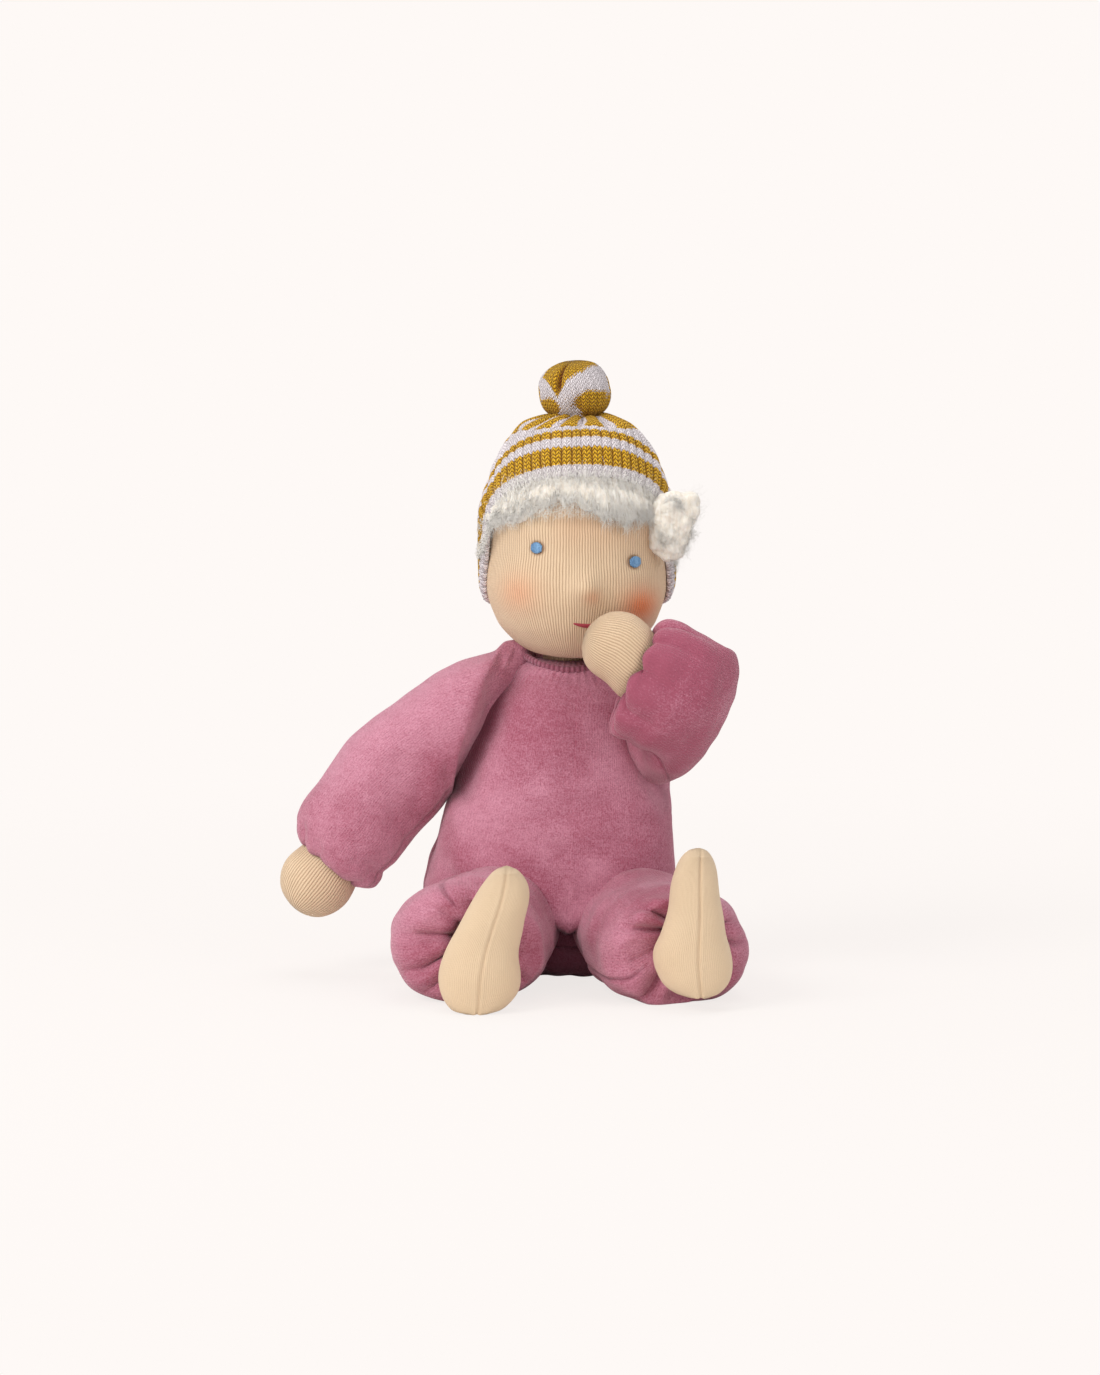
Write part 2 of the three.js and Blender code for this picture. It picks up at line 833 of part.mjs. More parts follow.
// The upper sleeve's shell and its filling, cut by the torso at the armpit and hollowed at the elbow
function upperArm(name, groups, torso_keep_off) {
  const section = armSection(upper_swell_length);
  const socket = socketBall(elbow_radius, elbow_centre, limb_sides);
  const torso = moved(torso_keep_off, null, groups.upper);
  const shell = ringBody(shellRings(upper_outline, velour_thickness, limb_sides, section));
  const filling_outline = capped(inset(upper_outline, velour_thickness + filling_gap));
  const filling = ringBody(turnedRings(filling_outline, limb_sides, section));
  groups.upper.add(named(`upper_sleeve_${name}`, carve(shell, [socket, torso]), velour));
  groups.upper.add(named(`upper_arm_stuffing_${name}`, carve(filling, [socket, torso]), wool_filling));
}

// The upper arm with its clearance, as the forearm meets it when the elbow is folded
function foldedUpper(groups, fold) {
  return turnedAbout(moved(upper_keep_off, groups.upper, groups.lower), new THREE.Vector3(1, 0, 0), -fold);
}

// The forearm's sleeve and filling, cut where they fold against the upper arm and hollowed at the wrist
function lowerArm(name, groups, fold) {
  const section = armSection(lower_swell_length);
  const root_ball = weld(new THREE.SphereGeometry(elbow_radius + socket_gap / 2, limb_sides, limb_sides / 2));
  const fold_cut = toGeometry(toSolid(foldedUpper(groups, fold)).subtract(toSolid(root_ball)));
  const wrist = socketBall(hand_radius, new THREE.Vector3(0, 0, forearm_length), limb_sides);
  const shell = ringBody(shellRings(lower_outline, velour_thickness, limb_sides, section));
  const filling_outline = capped(inset(lower_outline, velour_thickness + filling_gap));
  const filling = ringBody(turnedRings(filling_outline, limb_sides, section));
  groups.lower.add(named(`forearm_sleeve_${name}`, carve(shell, [wrist, fold_cut]), velour));
  groups.lower.add(named(`forearm_stuffing_${name}`, carve(filling, [wrist, fold_cut]), wool_filling));
  const thread_place = lower_swell_length + seam_gap + wrist_thread_radius;
  const ring = threadRing(hand_radius + socket_gap, wrist_thread_radius, thread_place);
  groups.lower.add(named(`wrist_thread_${name}`, ring, sewing_thread));
}

// A mitten hand: round about the wrist, then drawn out to its tip, and cut to clear the folded upper arm
function hand(name, groups, fold) {
  const outline = [new THREE.Vector2(-hand_radius, 0)];
  const half_steps = root_steps + 1;
  for (let step = 1; step < half_steps * 2; step += 1) {
    const angle = Math.PI * (1 - step / (half_steps * 2));
    const reach = step > half_steps ? hand_length : hand_radius;
    outline.push(new THREE.Vector2(reach * Math.cos(angle), hand_radius * Math.sin(angle)));
  }
  outline.push(new THREE.Vector2(hand_length, 0));
  const section = (place) => ({ wide: 1, deep: 1 - (1 - hand_depth_share) * smooth(0, hand_length, place) });
  const outer = ringBody(turnedRings(outline, hand_sides, section));
  const inner = ringBody(turnedRings(inset(outline, tricot_thickness), hand_sides, section));
  const filling = ringBody(turnedRings(inset(outline, tricot_thickness + filling_gap), hand_sides, section));
  const wrist_height = -hand_radius / 2;
  const far = cut_overrun;
  const inside_wrist = corners(new THREE.Vector3(-far, -far, -far), new THREE.Vector3(far, far, wrist_height));
  const folded = moved(foldedUpper(groups, fold), groups.lower, groups.hand);
  const fold_cuts = [-wrist_turn, 0, wrist_turn].map((turn) => turnedAbout(folded, new THREE.Vector3(0, 1, 0), turn));
  groups.hand.add(named(`hand_skin_${name}`, carve(outer, [inner, inside_wrist, ...fold_cuts]), tricot));
  groups.hand.add(named(`hand_stuffing_${name}`, carve(filling, [inside_wrist, ...fold_cuts]), wool_filling));
}

// Legs

const leg_side_outline = sharedCurve(leg_side_shares, leg_length, leg_half_width, leg_steps);
const leg_height_outline = sharedCurve(leg_height_shares, leg_length, leg_half_height, leg_steps);
const leg_outline = limbOutline(hip_radius, leg_side_outline);

// An outline's size at a place between its points
function sizeAt(outline, place) {
  const k = Math.max(outline.findIndex((point) => point.x > place), 1);
  const [before, after] = [outline[k - 1], outline[k]];
  return THREE.MathUtils.mapLinear(place, before.x, after.x, before.y, after.y);
}

// A trouser leg spreads sideways where it lies on the floor, and bows to the outside
function legSection(bow) {
  return (place) => {
    if (place <= 0 || place >= leg_length) {
      return { wide: 1, deep: 1, aside: 0 };
    }
    const deep = sizeAt(leg_height_outline, place) / sizeAt(leg_side_outline, place);
    return { wide: 1, deep, aside: bow * Math.sin((Math.PI * place) / leg_length) };
  };
}

// The space that a leg sweeps at its hip, in the doll's frame: a wedge from straight ahead to hanging down,
// round behind the joint and as thick as the leg
function legSweep(groups) {
  const reach = hip_radius + socket_gap;
  const half_width = hip_radius + hip_sweep_ease;
  const turn = THREE.MathUtils.degToRad(leg_up_angle);
  const wedge = new THREE.Shape();
  wedge.absarc(0, 0, reach, Math.PI / 2 + turn, Math.PI, false);
  wedge.lineTo(-reach, -cut_overrun);
  wedge.lineTo(cut_overrun, -cut_overrun);
  wedge.lineTo(cut_overrun, cut_overrun * Math.tan(turn) + reach / Math.cos(turn));
  const block = new THREE.ExtrudeGeometry(wedge, {
    depth: half_width * 2,
    bevelEnabled: false,
    curveSegments: root_steps * 2,
  });
  block.translate(0, 0, -half_width);
  block.applyMatrix4(new THREE.Matrix4().makeBasis(
    new THREE.Vector3(0, 0, 1),
    new THREE.Vector3(0, 1, 0),
    new THREE.Vector3(-1, 0, 0),
  ));
  return moved(weld(block), groups.leg, null);
}

function leg(name, groups, bow) {
  const floor = moved(floorBlock(), null, groups.form);
  const ankle = socketBall(ankle_radius, new THREE.Vector3(0, 0, ankle_place), limb_sides);
  const shell = ringBody(shellRings(leg_outline, velour_thickness, leg_sides, legSection(bow)));
  const filling_outline = capped(inset(leg_outline, velour_thickness + filling_gap));
  const filling = ringBody(turnedRings(filling_outline, leg_sides, legSection(bow)));
  groups.form.add(named(`trouser_leg_${name}`, carve(shell, [floor, ankle]), velour));
  groups.form.add(named(`leg_stuffing_${name}`, carve(filling, [ankle]), wool_filling));
  const gather = leg_outline[leg_outline.length - 2];
  const thread_place = (gather.x + leg_length) / 2;
  const ring = threadRing(gather.y + seam_gap, ankle_thread_radius, thread_place);
  groups.form.add(named(`ankle_thread_${name}`, ring, sewing_thread));
}

// A foot's rings from the heel up to the toe, its sole in one plane
function footRings(groups, margin) {
  const rings = [];
  const up = new THREE.Vector3(0, 0, 1).applyQuaternion(groups.foot.getWorldQuaternion(new THREE.Quaternion()).invert());
  const across = new THREE.Vector3(1, 0, 0);
  const toe = up.clone().addScaledVector(across, -up.x).normalize();
  const heel = toe.clone().multiplyScalar(-hip_height - flat_cut_depth);
  foot_form_shares.forEach(([height, wide, deep], i) => {
    const last = i === foot_form_shares.length - 1;
    const half_depth = foot_half_depth * deep;
    const level = foot_height * height + (i === 0 ? margin : 0) - (last ? margin : 0);
    const centre = heel.clone().addScaledVector(toe, level);
    centre.z += sole_place - ankle_place - Math.max(half_depth, foot_half_depth * foot_edge_share);
    if (last) {
      rings.push([centre]);
      return;
    }
    const half_width = Math.max(foot_half_width * wide - margin, margin);
    const half_thick = Math.max(half_depth - margin, margin);
    rings.push(Array.from({ length: foot_sides }, (_, k) => {
      const angle = (2 * Math.PI * (k + 0.5)) / foot_sides;
      const point = centre.clone().addScaledVector(across, half_width * Math.cos(angle));
      point.z += half_thick * Math.sin(angle);
      return point;
    }));
  });
  const bottom = rings[0].reduce((sum, point) => sum.add(point), new THREE.Vector3());
  return [[bottom.divideScalar(foot_sides)], ...rings];
}

// The foot: two tricot halves that meet at the sole's centre seam, and the filling with its ankle
function foot(name, groups) {
  const floor = moved(floorBlock(), null, groups.foot);
  const form = ringBody(footRings(groups, 0));
  const hollow = ringBody(footRings(groups, tricot_thickness));
  const core = ringBody(footRings(groups, tricot_thickness + filling_gap));
  const ankle_ball = weld(new THREE.SphereGeometry(ankle_radius, hand_sides, hand_sides / 2));
  const ankle_hole = socketBall(ankle_radius, new THREE.Vector3(), hand_sides);
  const filling = toGeometry(toSolid(core).add(toSolid(ankle_ball)));
  const skin = carve(form, [hollow, floor, ankle_hole]);
  const far = cut_overrun;
  const half_seam = seam_gap / 2;
  const low_half = corners(new THREE.Vector3(-far, -far, -far), new THREE.Vector3(-half_seam, far, far));
  const high_half = corners(new THREE.Vector3(half_seam, -far, -far), new THREE.Vector3(far, far, far));
  const sides = name === 'right' ? ['foot_outer', 'foot_inner'] : ['foot_inner', 'foot_outer'];
  groups.foot.add(named(`${sides[0]}_${name}`, keepWithin(skin, low_half), tricot));
  groups.foot.add(named(`${sides[1]}_${name}`, keepWithin(skin, high_half), tricot));
  groups.foot.add(named(`foot_stuffing_${name}`, carve(filling, [floor]), wool_filling));
}

// Torso

// The body's rings from the seat to the shoulders, set in by a margin
function torsoRings(margin) {
  const last = torso_form_shares.length - 1;
  const rings = torso_form_shares.map(([height, wide, deep, aside], i) => {
    const sunk = i === 0 ? margin - flat_cut_depth : 0;
    const level = torso_height * height + sunk - (i === last ? margin : 0);
    const centre = new THREE.Vector3(torso_aside * aside, torso_forward, level);
    return Array.from({ length: torso_sides }, (_, k) => {
      const angle = (2 * Math.PI * (k + 0.5)) / torso_sides;
      return new THREE.Vector3(
        centre.x + (torso_half_width * wide - margin) * Math.cos(angle),
        centre.y + (torso_half_depth * deep - margin) * Math.sin(angle),
        centre.z,
      );
    });
  });
  const middle = (ring) => [ring.reduce((sum, p) => sum.add(p), new THREE.Vector3()).divideScalar(torso_sides)];
  return [middle(rings[0]), ...rings, middle(rings[last])];
}

const neck_place = new THREE.Vector3(neck_aside, neck_forward, torso_height);
const torso_keep_off = ringBody(torsoRings(-socket_gap));

function buildTorso() {
  const torso = new THREE.Group();
  const cuts = [
    floorBlock(),
    socketBall(neck_radius, neck_place, limb_sides),
    socketBall(shoulder_radius, shoulder_place(-1), limb_sides),
    socketBall(shoulder_radius, shoulder_place(1), limb_sides),
    legSweep(legs.right),
    legSweep(legs.left),
  ];
  const far = cut_overrun;
  const front_seam = torso_forward - seam_gap / 2;
  const back_seam = torso_forward + seam_gap / 2;
  const skin = toSolid(ringBody(torsoRings(0))).subtract(toSolid(ringBody(torsoRings(velour_thickness))));
  const front_half = corners(new THREE.Vector3(-far, -far, -far), new THREE.Vector3(far, front_seam, far));
  const back_half = corners(new THREE.Vector3(-far, back_seam, -far), new THREE.Vector3(far, far, far));
  const front_skin = skin.intersect(toSolid(front_half));
  const back_skin = skin.intersect(toSolid(back_half));
  const filling = ringBody(torsoRings(velour_thickness + filling_gap));
  torso.add(named('torso_front', carve(toGeometry(front_skin), cuts), velour));
  torso.add(named('torso_back', carve(toGeometry(back_skin), cuts), velour));
  torso.add(named('torso_stuffing', carve(filling, cuts), wool_filling));
  return torso;
}

// The gathered neckline: a soft ring on the body's top, round the neck
function collar() {
  const outline = [];
  const middle = collar_inner_radius + collar_width / 2;
  for (let step = 0; step < thread_sides * 2; step += 1) {
    const angle = (Math.PI * step) / thread_sides;
    outline.push(new THREE.Vector2(
      (collar_height / 2) * Math.sin(angle),
      middle + (collar_width / 2) * Math.cos(angle),
    ));
  }
  const ring = ringBody(turnedRings(outline, hand_sides, round_section), true);
  ring.translate(neck_place.x, neck_place.y, torso_height + seam_gap + collar_height / 2);
  return ring;
}

// The neck: a ball in the body's top and a stem up into the head, tied round with thread
function buildNeck() {
  const neck = new THREE.Group();
  const outline = limbOutline(neck_radius, [
    new THREE.Vector2(0, neck_radius),
    new THREE.Vector2(neck_length * neck_taper_share, neck_top_radius),
    new THREE.Vector2(neck_length, neck_top_radius),
    new THREE.Vector2(neck_length, 0),
  ]);
  const stem = ringBody(turnedRings(outline, limb_sides, round_section));
  stem.translate(neck_place.x, neck_place.y, neck_place.z);
  const tie = threadRing(neck_top_radius + seam_gap, neck_thread_radius, neck_length / 2);
  tie.translate(neck_place.x, neck_place.y, neck_place.z);
  neck.add(named('neck_stuffing', stem, wool_filling));
  neck.add(named('neck_thread', tie, sewing_thread));
  return neck;
}

// Assembly

doll.add(buildTorso());
doll.add(named('collar', collar(), velour));
doll.add(buildNeck());
doll.add(buildHead());
for (const name of ['right', 'left']) {
  upperArm(name, arms[name], torso_keep_off);
  lowerArm(name, arms[name], name === 'right' ? elbow_right_fold : 0);
  hand(name, arms[name], name === 'right' ? elbow_right_fold : 0);
  leg(name, legs[name], name === 'right' ? leg_right_bow : leg_left_bow);
  foot(name, legs[name]);
}

export default doll;
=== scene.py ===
import json
import logging
import math
from dataclasses import dataclass, field
from enum import Enum
from typing import Callable, Dict, Optional, Sequence, Tuple

import bpy
import numpy as np
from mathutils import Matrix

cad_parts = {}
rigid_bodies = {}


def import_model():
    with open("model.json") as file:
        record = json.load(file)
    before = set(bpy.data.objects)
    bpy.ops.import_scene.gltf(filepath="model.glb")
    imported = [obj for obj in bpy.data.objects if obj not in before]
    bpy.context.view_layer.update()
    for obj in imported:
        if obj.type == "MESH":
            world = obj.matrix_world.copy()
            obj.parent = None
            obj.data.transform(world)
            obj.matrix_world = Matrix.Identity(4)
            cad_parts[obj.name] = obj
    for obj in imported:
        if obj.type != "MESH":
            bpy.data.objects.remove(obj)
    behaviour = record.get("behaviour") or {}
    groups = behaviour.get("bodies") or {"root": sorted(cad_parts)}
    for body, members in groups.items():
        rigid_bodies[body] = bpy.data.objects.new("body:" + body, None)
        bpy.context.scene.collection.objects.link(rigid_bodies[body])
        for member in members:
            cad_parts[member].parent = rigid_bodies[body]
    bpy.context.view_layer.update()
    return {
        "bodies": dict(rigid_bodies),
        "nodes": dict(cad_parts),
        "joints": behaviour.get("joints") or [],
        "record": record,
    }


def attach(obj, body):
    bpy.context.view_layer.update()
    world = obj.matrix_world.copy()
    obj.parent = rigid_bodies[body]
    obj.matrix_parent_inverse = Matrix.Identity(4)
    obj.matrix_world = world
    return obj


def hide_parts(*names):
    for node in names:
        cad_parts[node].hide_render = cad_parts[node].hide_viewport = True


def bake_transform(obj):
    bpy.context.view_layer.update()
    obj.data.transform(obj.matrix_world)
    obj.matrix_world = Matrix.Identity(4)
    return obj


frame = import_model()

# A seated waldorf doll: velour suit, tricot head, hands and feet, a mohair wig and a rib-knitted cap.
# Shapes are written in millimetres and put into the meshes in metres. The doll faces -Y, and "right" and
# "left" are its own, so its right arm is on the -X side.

LOG = logging.getLogger("waldorf_doll")
MM = 0.001
TAU = 2 * math.pi

Array = np.ndarray
Colour = Tuple[float, float, float]
Point = Tuple[float, float, float]


class Side(Enum):
    """The doll's own sides, with the way each one lies along X."""

    RIGHT = -1
    LEFT = 1

    @property
    def word(self) -> str:
        """The side's name as the frame's nodes and bodies spell it."""
        return self.name.lower()


class Slot(Enum):
    """The record's material slots by name."""

    VELOUR = "velour"
    TRICOT = "tricot"
    MOHAIR = "mohair"
    RIB_KNIT = "rib_knit"
    EYE_THREAD = "eye_thread"
    MOUTH_THREAD = "mouth_thread"


# ---------------------------------------------------------------- shapes


def ease(low: float, high: float, value: Array) -> Array:
    """Smooth step: 0 below low, 1 above high, and 3t^2 - 2t^3 between."""
    t = np.clip((np.asarray(value, float) - low) / (high - low), 0, 1)
    return t * t * (3 - 2 * t)


def bump(value: Array, centre: float, width: float) -> Array:
    """A bell curve, e^-(distance / width)^2."""
    return np.exp(-(((np.asarray(value, float) - centre) / width) ** 2))


def signed_power(value: Array, power: Array) -> Array:
    """|value|^power with the value's own sign, which makes an ellipse boxier below a power of 1."""
    return np.sign(value) * np.abs(value) ** power


def seam_line(angle: Array, at: float, width: float) -> Array:
    """How near an angle round a limb is to a seam at another angle, 1 on it."""
    return bump(np.mod(angle - at + math.pi, TAU) - math.pi, 0, width)


def through(stations: Sequence[Sequence[float]], count: int) -> Array:
    """Rows of numbers read along a smooth curve through stations.

    Uniform Catmull-Rom: between stations B and C, with neighbours A and D, a value is
    (2B + (C - A)t + (2A - 5B + 4C - D)t^2 + (3B - A - 3C + D)t^3) / 2.

    Args:
        stations: rows of equal length, evenly spaced along the curve.
        count: how many rows to read.

    Returns:
        An array of count rows.
    """
    rows = np.asarray(stations, float)
    padded = np.vstack([2 * rows[0] - rows[1], rows, 2 * rows[-1] - rows[-2]])
    at = np.linspace(0, len(rows) - 1, count)
    k = np.minimum(at.astype(int), len(rows) - 2)
    t = (at - k)[:, None]
    a, b, c, d = (padded[k + i] for i in range(4))
    return (2 * b + (c - a) * t + (2 * a - 5 * b + 4 * c - d) * t**2 + (3 * b - a - 3 * c + d) * t**3) / 2


def walk(points: Array) -> Array:
    """The length of a line of points up to each of them."""
    return np.concatenate([[0], np.cumsum(np.linalg.norm(np.diff(points, axis=0), axis=1))])


def unit(vectors: Array) -> Array:
    """Vectors scaled to length one."""
    return vectors / np.maximum(np.linalg.norm(vectors, axis=-1, keepdims=True), 1e-12)


def lumps(points: Array, wave: float, seed: int, count: int = 7) -> Array:
    """Gentle unevenness from -1 to 1: a mean of sine waves that run in seeded directions.

    Args:
        points: places in millimetres, any shape ending in 3.
        wave: the waves' mean length in millimetres.
        seed: chooses directions and phases.
        count: how many waves are summed.

    Returns:
        One value for each point.
    """
    rng = np.random.default_rng(seed)
    ways = unit(rng.normal(size=(count, 3))) * TAU / (wave * rng.uniform(0.7, 1.5, (count, 1)))
    return np.sin(points @ ways.T + rng.uniform(0, TAU, count)).sum(-1) / math.sqrt(count * 2)


def normals_of(grid: Array) -> Array:
    """Unit normals of a grid of points that closes round its second axis."""
    along = np.gradient(grid, axis=0)
    round_ = np.roll(grid, -1, axis=1) - np.roll(grid, 1, axis=1)
    made = unit(np.cross(along, round_))
    inward = (made * (grid - grid.mean(axis=1, keepdims=True))).sum() < 0
    return -made if inward else made


def rings(stations: Sequence[Sequence[float]], rows: int, sides: int, flat: float = 0.0) -> Array:
    """A tube of elliptic rings along a limb.

    Each station is centre x y z, half width, half depth, the way along x y z, and the wide way x y z.
    A ring's point is centre + wide * half width * cos(angle) + deep * half depth * sin(angle), where deep is
    square to the way along and the wide way. Where sin is below 0 both waves are raised to 1 - flat, which
    squares off the side that lies on the floor.

    Args:
        stations: the rows described above, in millimetres.
        rows: rings along the limb.
        sides: points round each ring.
        flat: how much boxier the lower half is, from 0.

    Returns:
        Points of shape (rows, sides, 3).
    """
    read = through(stations, rows)
    centre, half, deep_half = read[:, 0:3], read[:, 3:4], read[:, 4:5]
    along = unit(read[:, 5:8])
    wide = read[:, 8:11]
    wide = unit(wide - (wide * along).sum(1, keepdims=True) * along)
    deep = np.cross(along, wide)
    angle = np.arange(sides) * TAU / sides
    cos, sin = np.cos(angle), np.sin(angle)
    power = np.where(sin < 0, 1 - flat, 1.0)
    cos, sin = signed_power(cos, power)[None, :, None], signed_power(sin, power)[None, :, None]
    return centre[:, None] + cos * (wide * half)[:, None] + sin * (deep * deep_half)[:, None]


def lengths(grid: Array) -> Tuple[Array, Array]:
    """Cloth coordinates of a grid in metres: along its rows and round its widest ring."""
    middle = np.linalg.norm(np.diff(grid, axis=0), axis=2).mean(axis=1)
    along = np.concatenate([[0], np.cumsum(middle)]) * MM
    steps = np.linalg.norm(np.roll(grid, -1, axis=1) - grid, axis=2).max(axis=0)
    return along, np.concatenate([[0], np.cumsum(steps)]) * MM


def link(name: str, data: bpy.types.ID) -> bpy.types.Object:
    """A new object in the scene for a mesh, a lamp or a camera."""
    made = bpy.data.objects.new(name, data)
    bpy.context.scene.collection.objects.link(made)
    return made


def inside_out(points: Array, triangles: Array) -> bool:
    """Whether the volume that closed triangles enclose comes out negative."""
    corner = points[triangles]
    return (corner[:, 0] * np.cross(corner[:, 1], corner[:, 2])).sum() < 0


def new_piece(name: str, points: Array, faces: Sequence[Sequence[int]], values: Dict[str, Array],
              uv: Optional[Array] = None) -> bpy.types.Object:
    """A smooth mesh object at the origin.

    Args:
        name: the piece's name.
        points: places in metres, of shape (points, 3).
        faces: each face's points.
        values: attributes by name, one value for each point.
        uv: the cloth coordinates of each face's corners, in metres.

    Returns:
        The new object.
    """
    mesh = bpy.data.meshes.new(name)
    mesh.from_pydata(points.tolist(), [], faces)
    if uv is not None:
        mesh.uv_layers.new(name="cloth").data.foreach_set("uv", uv.reshape(-1).astype(np.float32))
    for key, value in values.items():
        mesh.attributes.new(key, "FLOAT", "POINT").data.foreach_set("value", value.reshape(-1).astype(np.float32))
    mesh.polygons.foreach_set("use_smooth", np.ones(len(mesh.polygons), bool))
    mesh.update()
    return link(name, mesh)


def build(name: str, grid: Array, values: Optional[Dict[str, Array]] = None) -> bpy.types.Object:
    """A closed mesh from a grid of rings: quads between rings and a fan to a pole at each end.

    The cloth coordinates of each corner go into its UV map in metres, and extra values into attributes.

    Args:
        name: the piece's name.
        grid: points of shape (rows, sides, 3) in millimetres.
        values: attributes by name, each of shape (rows, sides).

    Returns:
        The new object.
    """
    rows, sides, _ = grid.shape
    index = np.arange(rows * sides).reshape(rows, sides)
    turn = np.roll(index, -1, axis=1)
    quads = np.stack([index[:-1], turn[:-1], turn[1:], index[1:]], axis=-1).reshape(-1, 4)
    low, high = rows * sides, rows * sides + 1
    first = np.stack([np.full(sides, low), turn[0], index[0]], axis=-1)
    last = np.stack([np.full(sides, high), index[-1], turn[-1]], axis=-1)
    points = np.vstack([grid.reshape(-1, 3), grid[0].mean(0), grid[-1].mean(0)]) * MM
    along, round_ = lengths(grid)
    low_v, low_u = np.meshgrid(along[:-1], round_[:-1], indexing="ij")
    high_v, high_u = np.meshgrid(along[1:], round_[1:], indexing="ij")
    quad_uv = np.stack([low_u, low_v, high_u, low_v, high_u, high_v, low_u, high_v], -1).reshape(-1, 4, 2)
    here, there, middle = round_[:-1], round_[1:], (round_[:-1] + round_[1:]) / 2

    def fan(level: float, one: Array, other: Array) -> Array:
        """UV corners of the fan to one pole."""
        flat = np.full(sides, level)
        return np.stack([middle, flat, one, flat, other, flat], -1).reshape(sides, 3, 2)

    first_uv, last_uv = fan(along[0], there, here), fan(along[-1], here, there)
    if inside_out(points, np.vstack([quads[:, [0, 1, 2]], quads[:, [0, 2, 3]], first, last])):
        quads, first, last, quad_uv, first_uv, last_uv = (
            part[:, ::-1] for part in (quads, first, last, quad_uv, first_uv, last_uv))
    uv = np.concatenate([part.reshape(-1) for part in (quad_uv, first_uv, last_uv)])
    spread = {key: np.concatenate([value.reshape(-1), [value[0].mean(), value[-1].mean()]])
              for key, value in (values or {}).items()}
    return new_piece(name, points, quads.tolist() + first.tolist() + last.tolist(), spread, uv)


def ring_mesh(name: str, grid: Array, values: Dict[str, Array]) -> bpy.types.Object:
    """A mesh that closes both ways, such as a collar, from a grid of points in millimetres."""
    rows, sides, _ = grid.shape
    index = np.arange(rows * sides).reshape(rows, sides)
    over, turn = np.roll(index, -1, axis=0), np.roll(index, -1, axis=1)
    quads = np.stack([index, over, np.roll(over, -1, axis=1), turn], -1).reshape(-1, 4)
    points = grid.reshape(-1, 3) * MM
    if inside_out(points, np.vstack([quads[:, [0, 1, 2]], quads[:, [0, 2, 3]]])):
        quads = quads[:, ::-1]
    seen_from_front = grid.reshape(-1, 3)[quads.reshape(-1)][:, [0, 2]] * MM
    return new_piece(name, points, quads.tolist(), values, seen_from_front)


def strands(name: str, paths: Array, radii: Array, sides: int = 3,
            middle: Optional[Point] = None) -> bpy.types.Object:
    """Many thin tapered fibres in one mesh.

    Each fibre is a tube along its path: at each point a ring lies square to the path's way. Fibres that cover
    a form are shaded as part of it: a point's normal runs from the form's middle through the point.

    Args:
        name: the piece's name.
        paths: points of shape (fibres, points, 3) in millimetres.
        radii: radii of shape (fibres, points) in millimetres.
        sides: corners of each ring.
        middle: the middle of the form that the fibres cover, in millimetres, or None for plain round threads.

    Returns:
        The new object.
    """
    fibres, steps, _ = paths.shape
    way = unit(np.gradient(paths, axis=1))
    lean = np.where(np.abs(way[..., 2:3]) > 0.9, [1.0, 0, 0], [0, 0, 1.0])
    one = unit(np.cross(way, lean))
    two = np.cross(way, one)
    angle = (np.arange(sides) * TAU / sides)[:, None]
    ring = one[:, :, None] * np.cos(angle) + two[:, :, None] * np.sin(angle)
    points = (paths[:, :, None] + ring * radii[:, :, None, None]).reshape(-1, 3) * MM
    index = np.arange(fibres * steps * sides).reshape(fibres, steps, sides)
    turn = np.roll(index, -1, axis=2)
    quads = np.stack([index[:, :-1], turn[:, :-1], turn[:, 1:], index[:, 1:]], -1).reshape(-1, 4)
    faces = quads.tolist() + index[:, 0, ::-1].tolist() + index[:, -1].tolist()
    shade = np.repeat(np.random.default_rng(5).uniform(0, 1, fibres), steps * sides)
    piece = new_piece(name, points, faces, {"fibre": shade})
    if middle:
        piece.data.normals_split_custom_set_from_vertices(unit(points - np.array(middle) * MM).tolist())
    return piece


def spline_weights(fine: int, coarse: int, closed: bool) -> Array:
    """Weights that read a smooth curve through coarse values at fine places.

    A cubic B-spline: d coarse steps away the weight is 2/3 - d^2 + d^3 / 2 within one step and (2 - d)^3 / 6
    within two, and each row of weights is scaled to a sum of one.

    Args:
        fine: how many places are read.
        coarse: how many values there are.
        closed: whether the values run round a ring.

    Returns:
        Weights of shape (fine, coarse).
    """
    at = np.arange(fine) * (coarse / fine if closed else (coarse - 1) / (fine - 1))
    away = at[:, None] - np.arange(coarse)[None, :]
    if closed:
        away = (away + coarse / 2) % coarse - coarse / 2
    away = np.abs(away)
    weight = np.where(away < 1, 2 / 3 - away**2 + away**3 / 2, np.clip(2 - away, 0, None) ** 3 / 6)
    return weight / weight.sum(axis=1, keepdims=True)


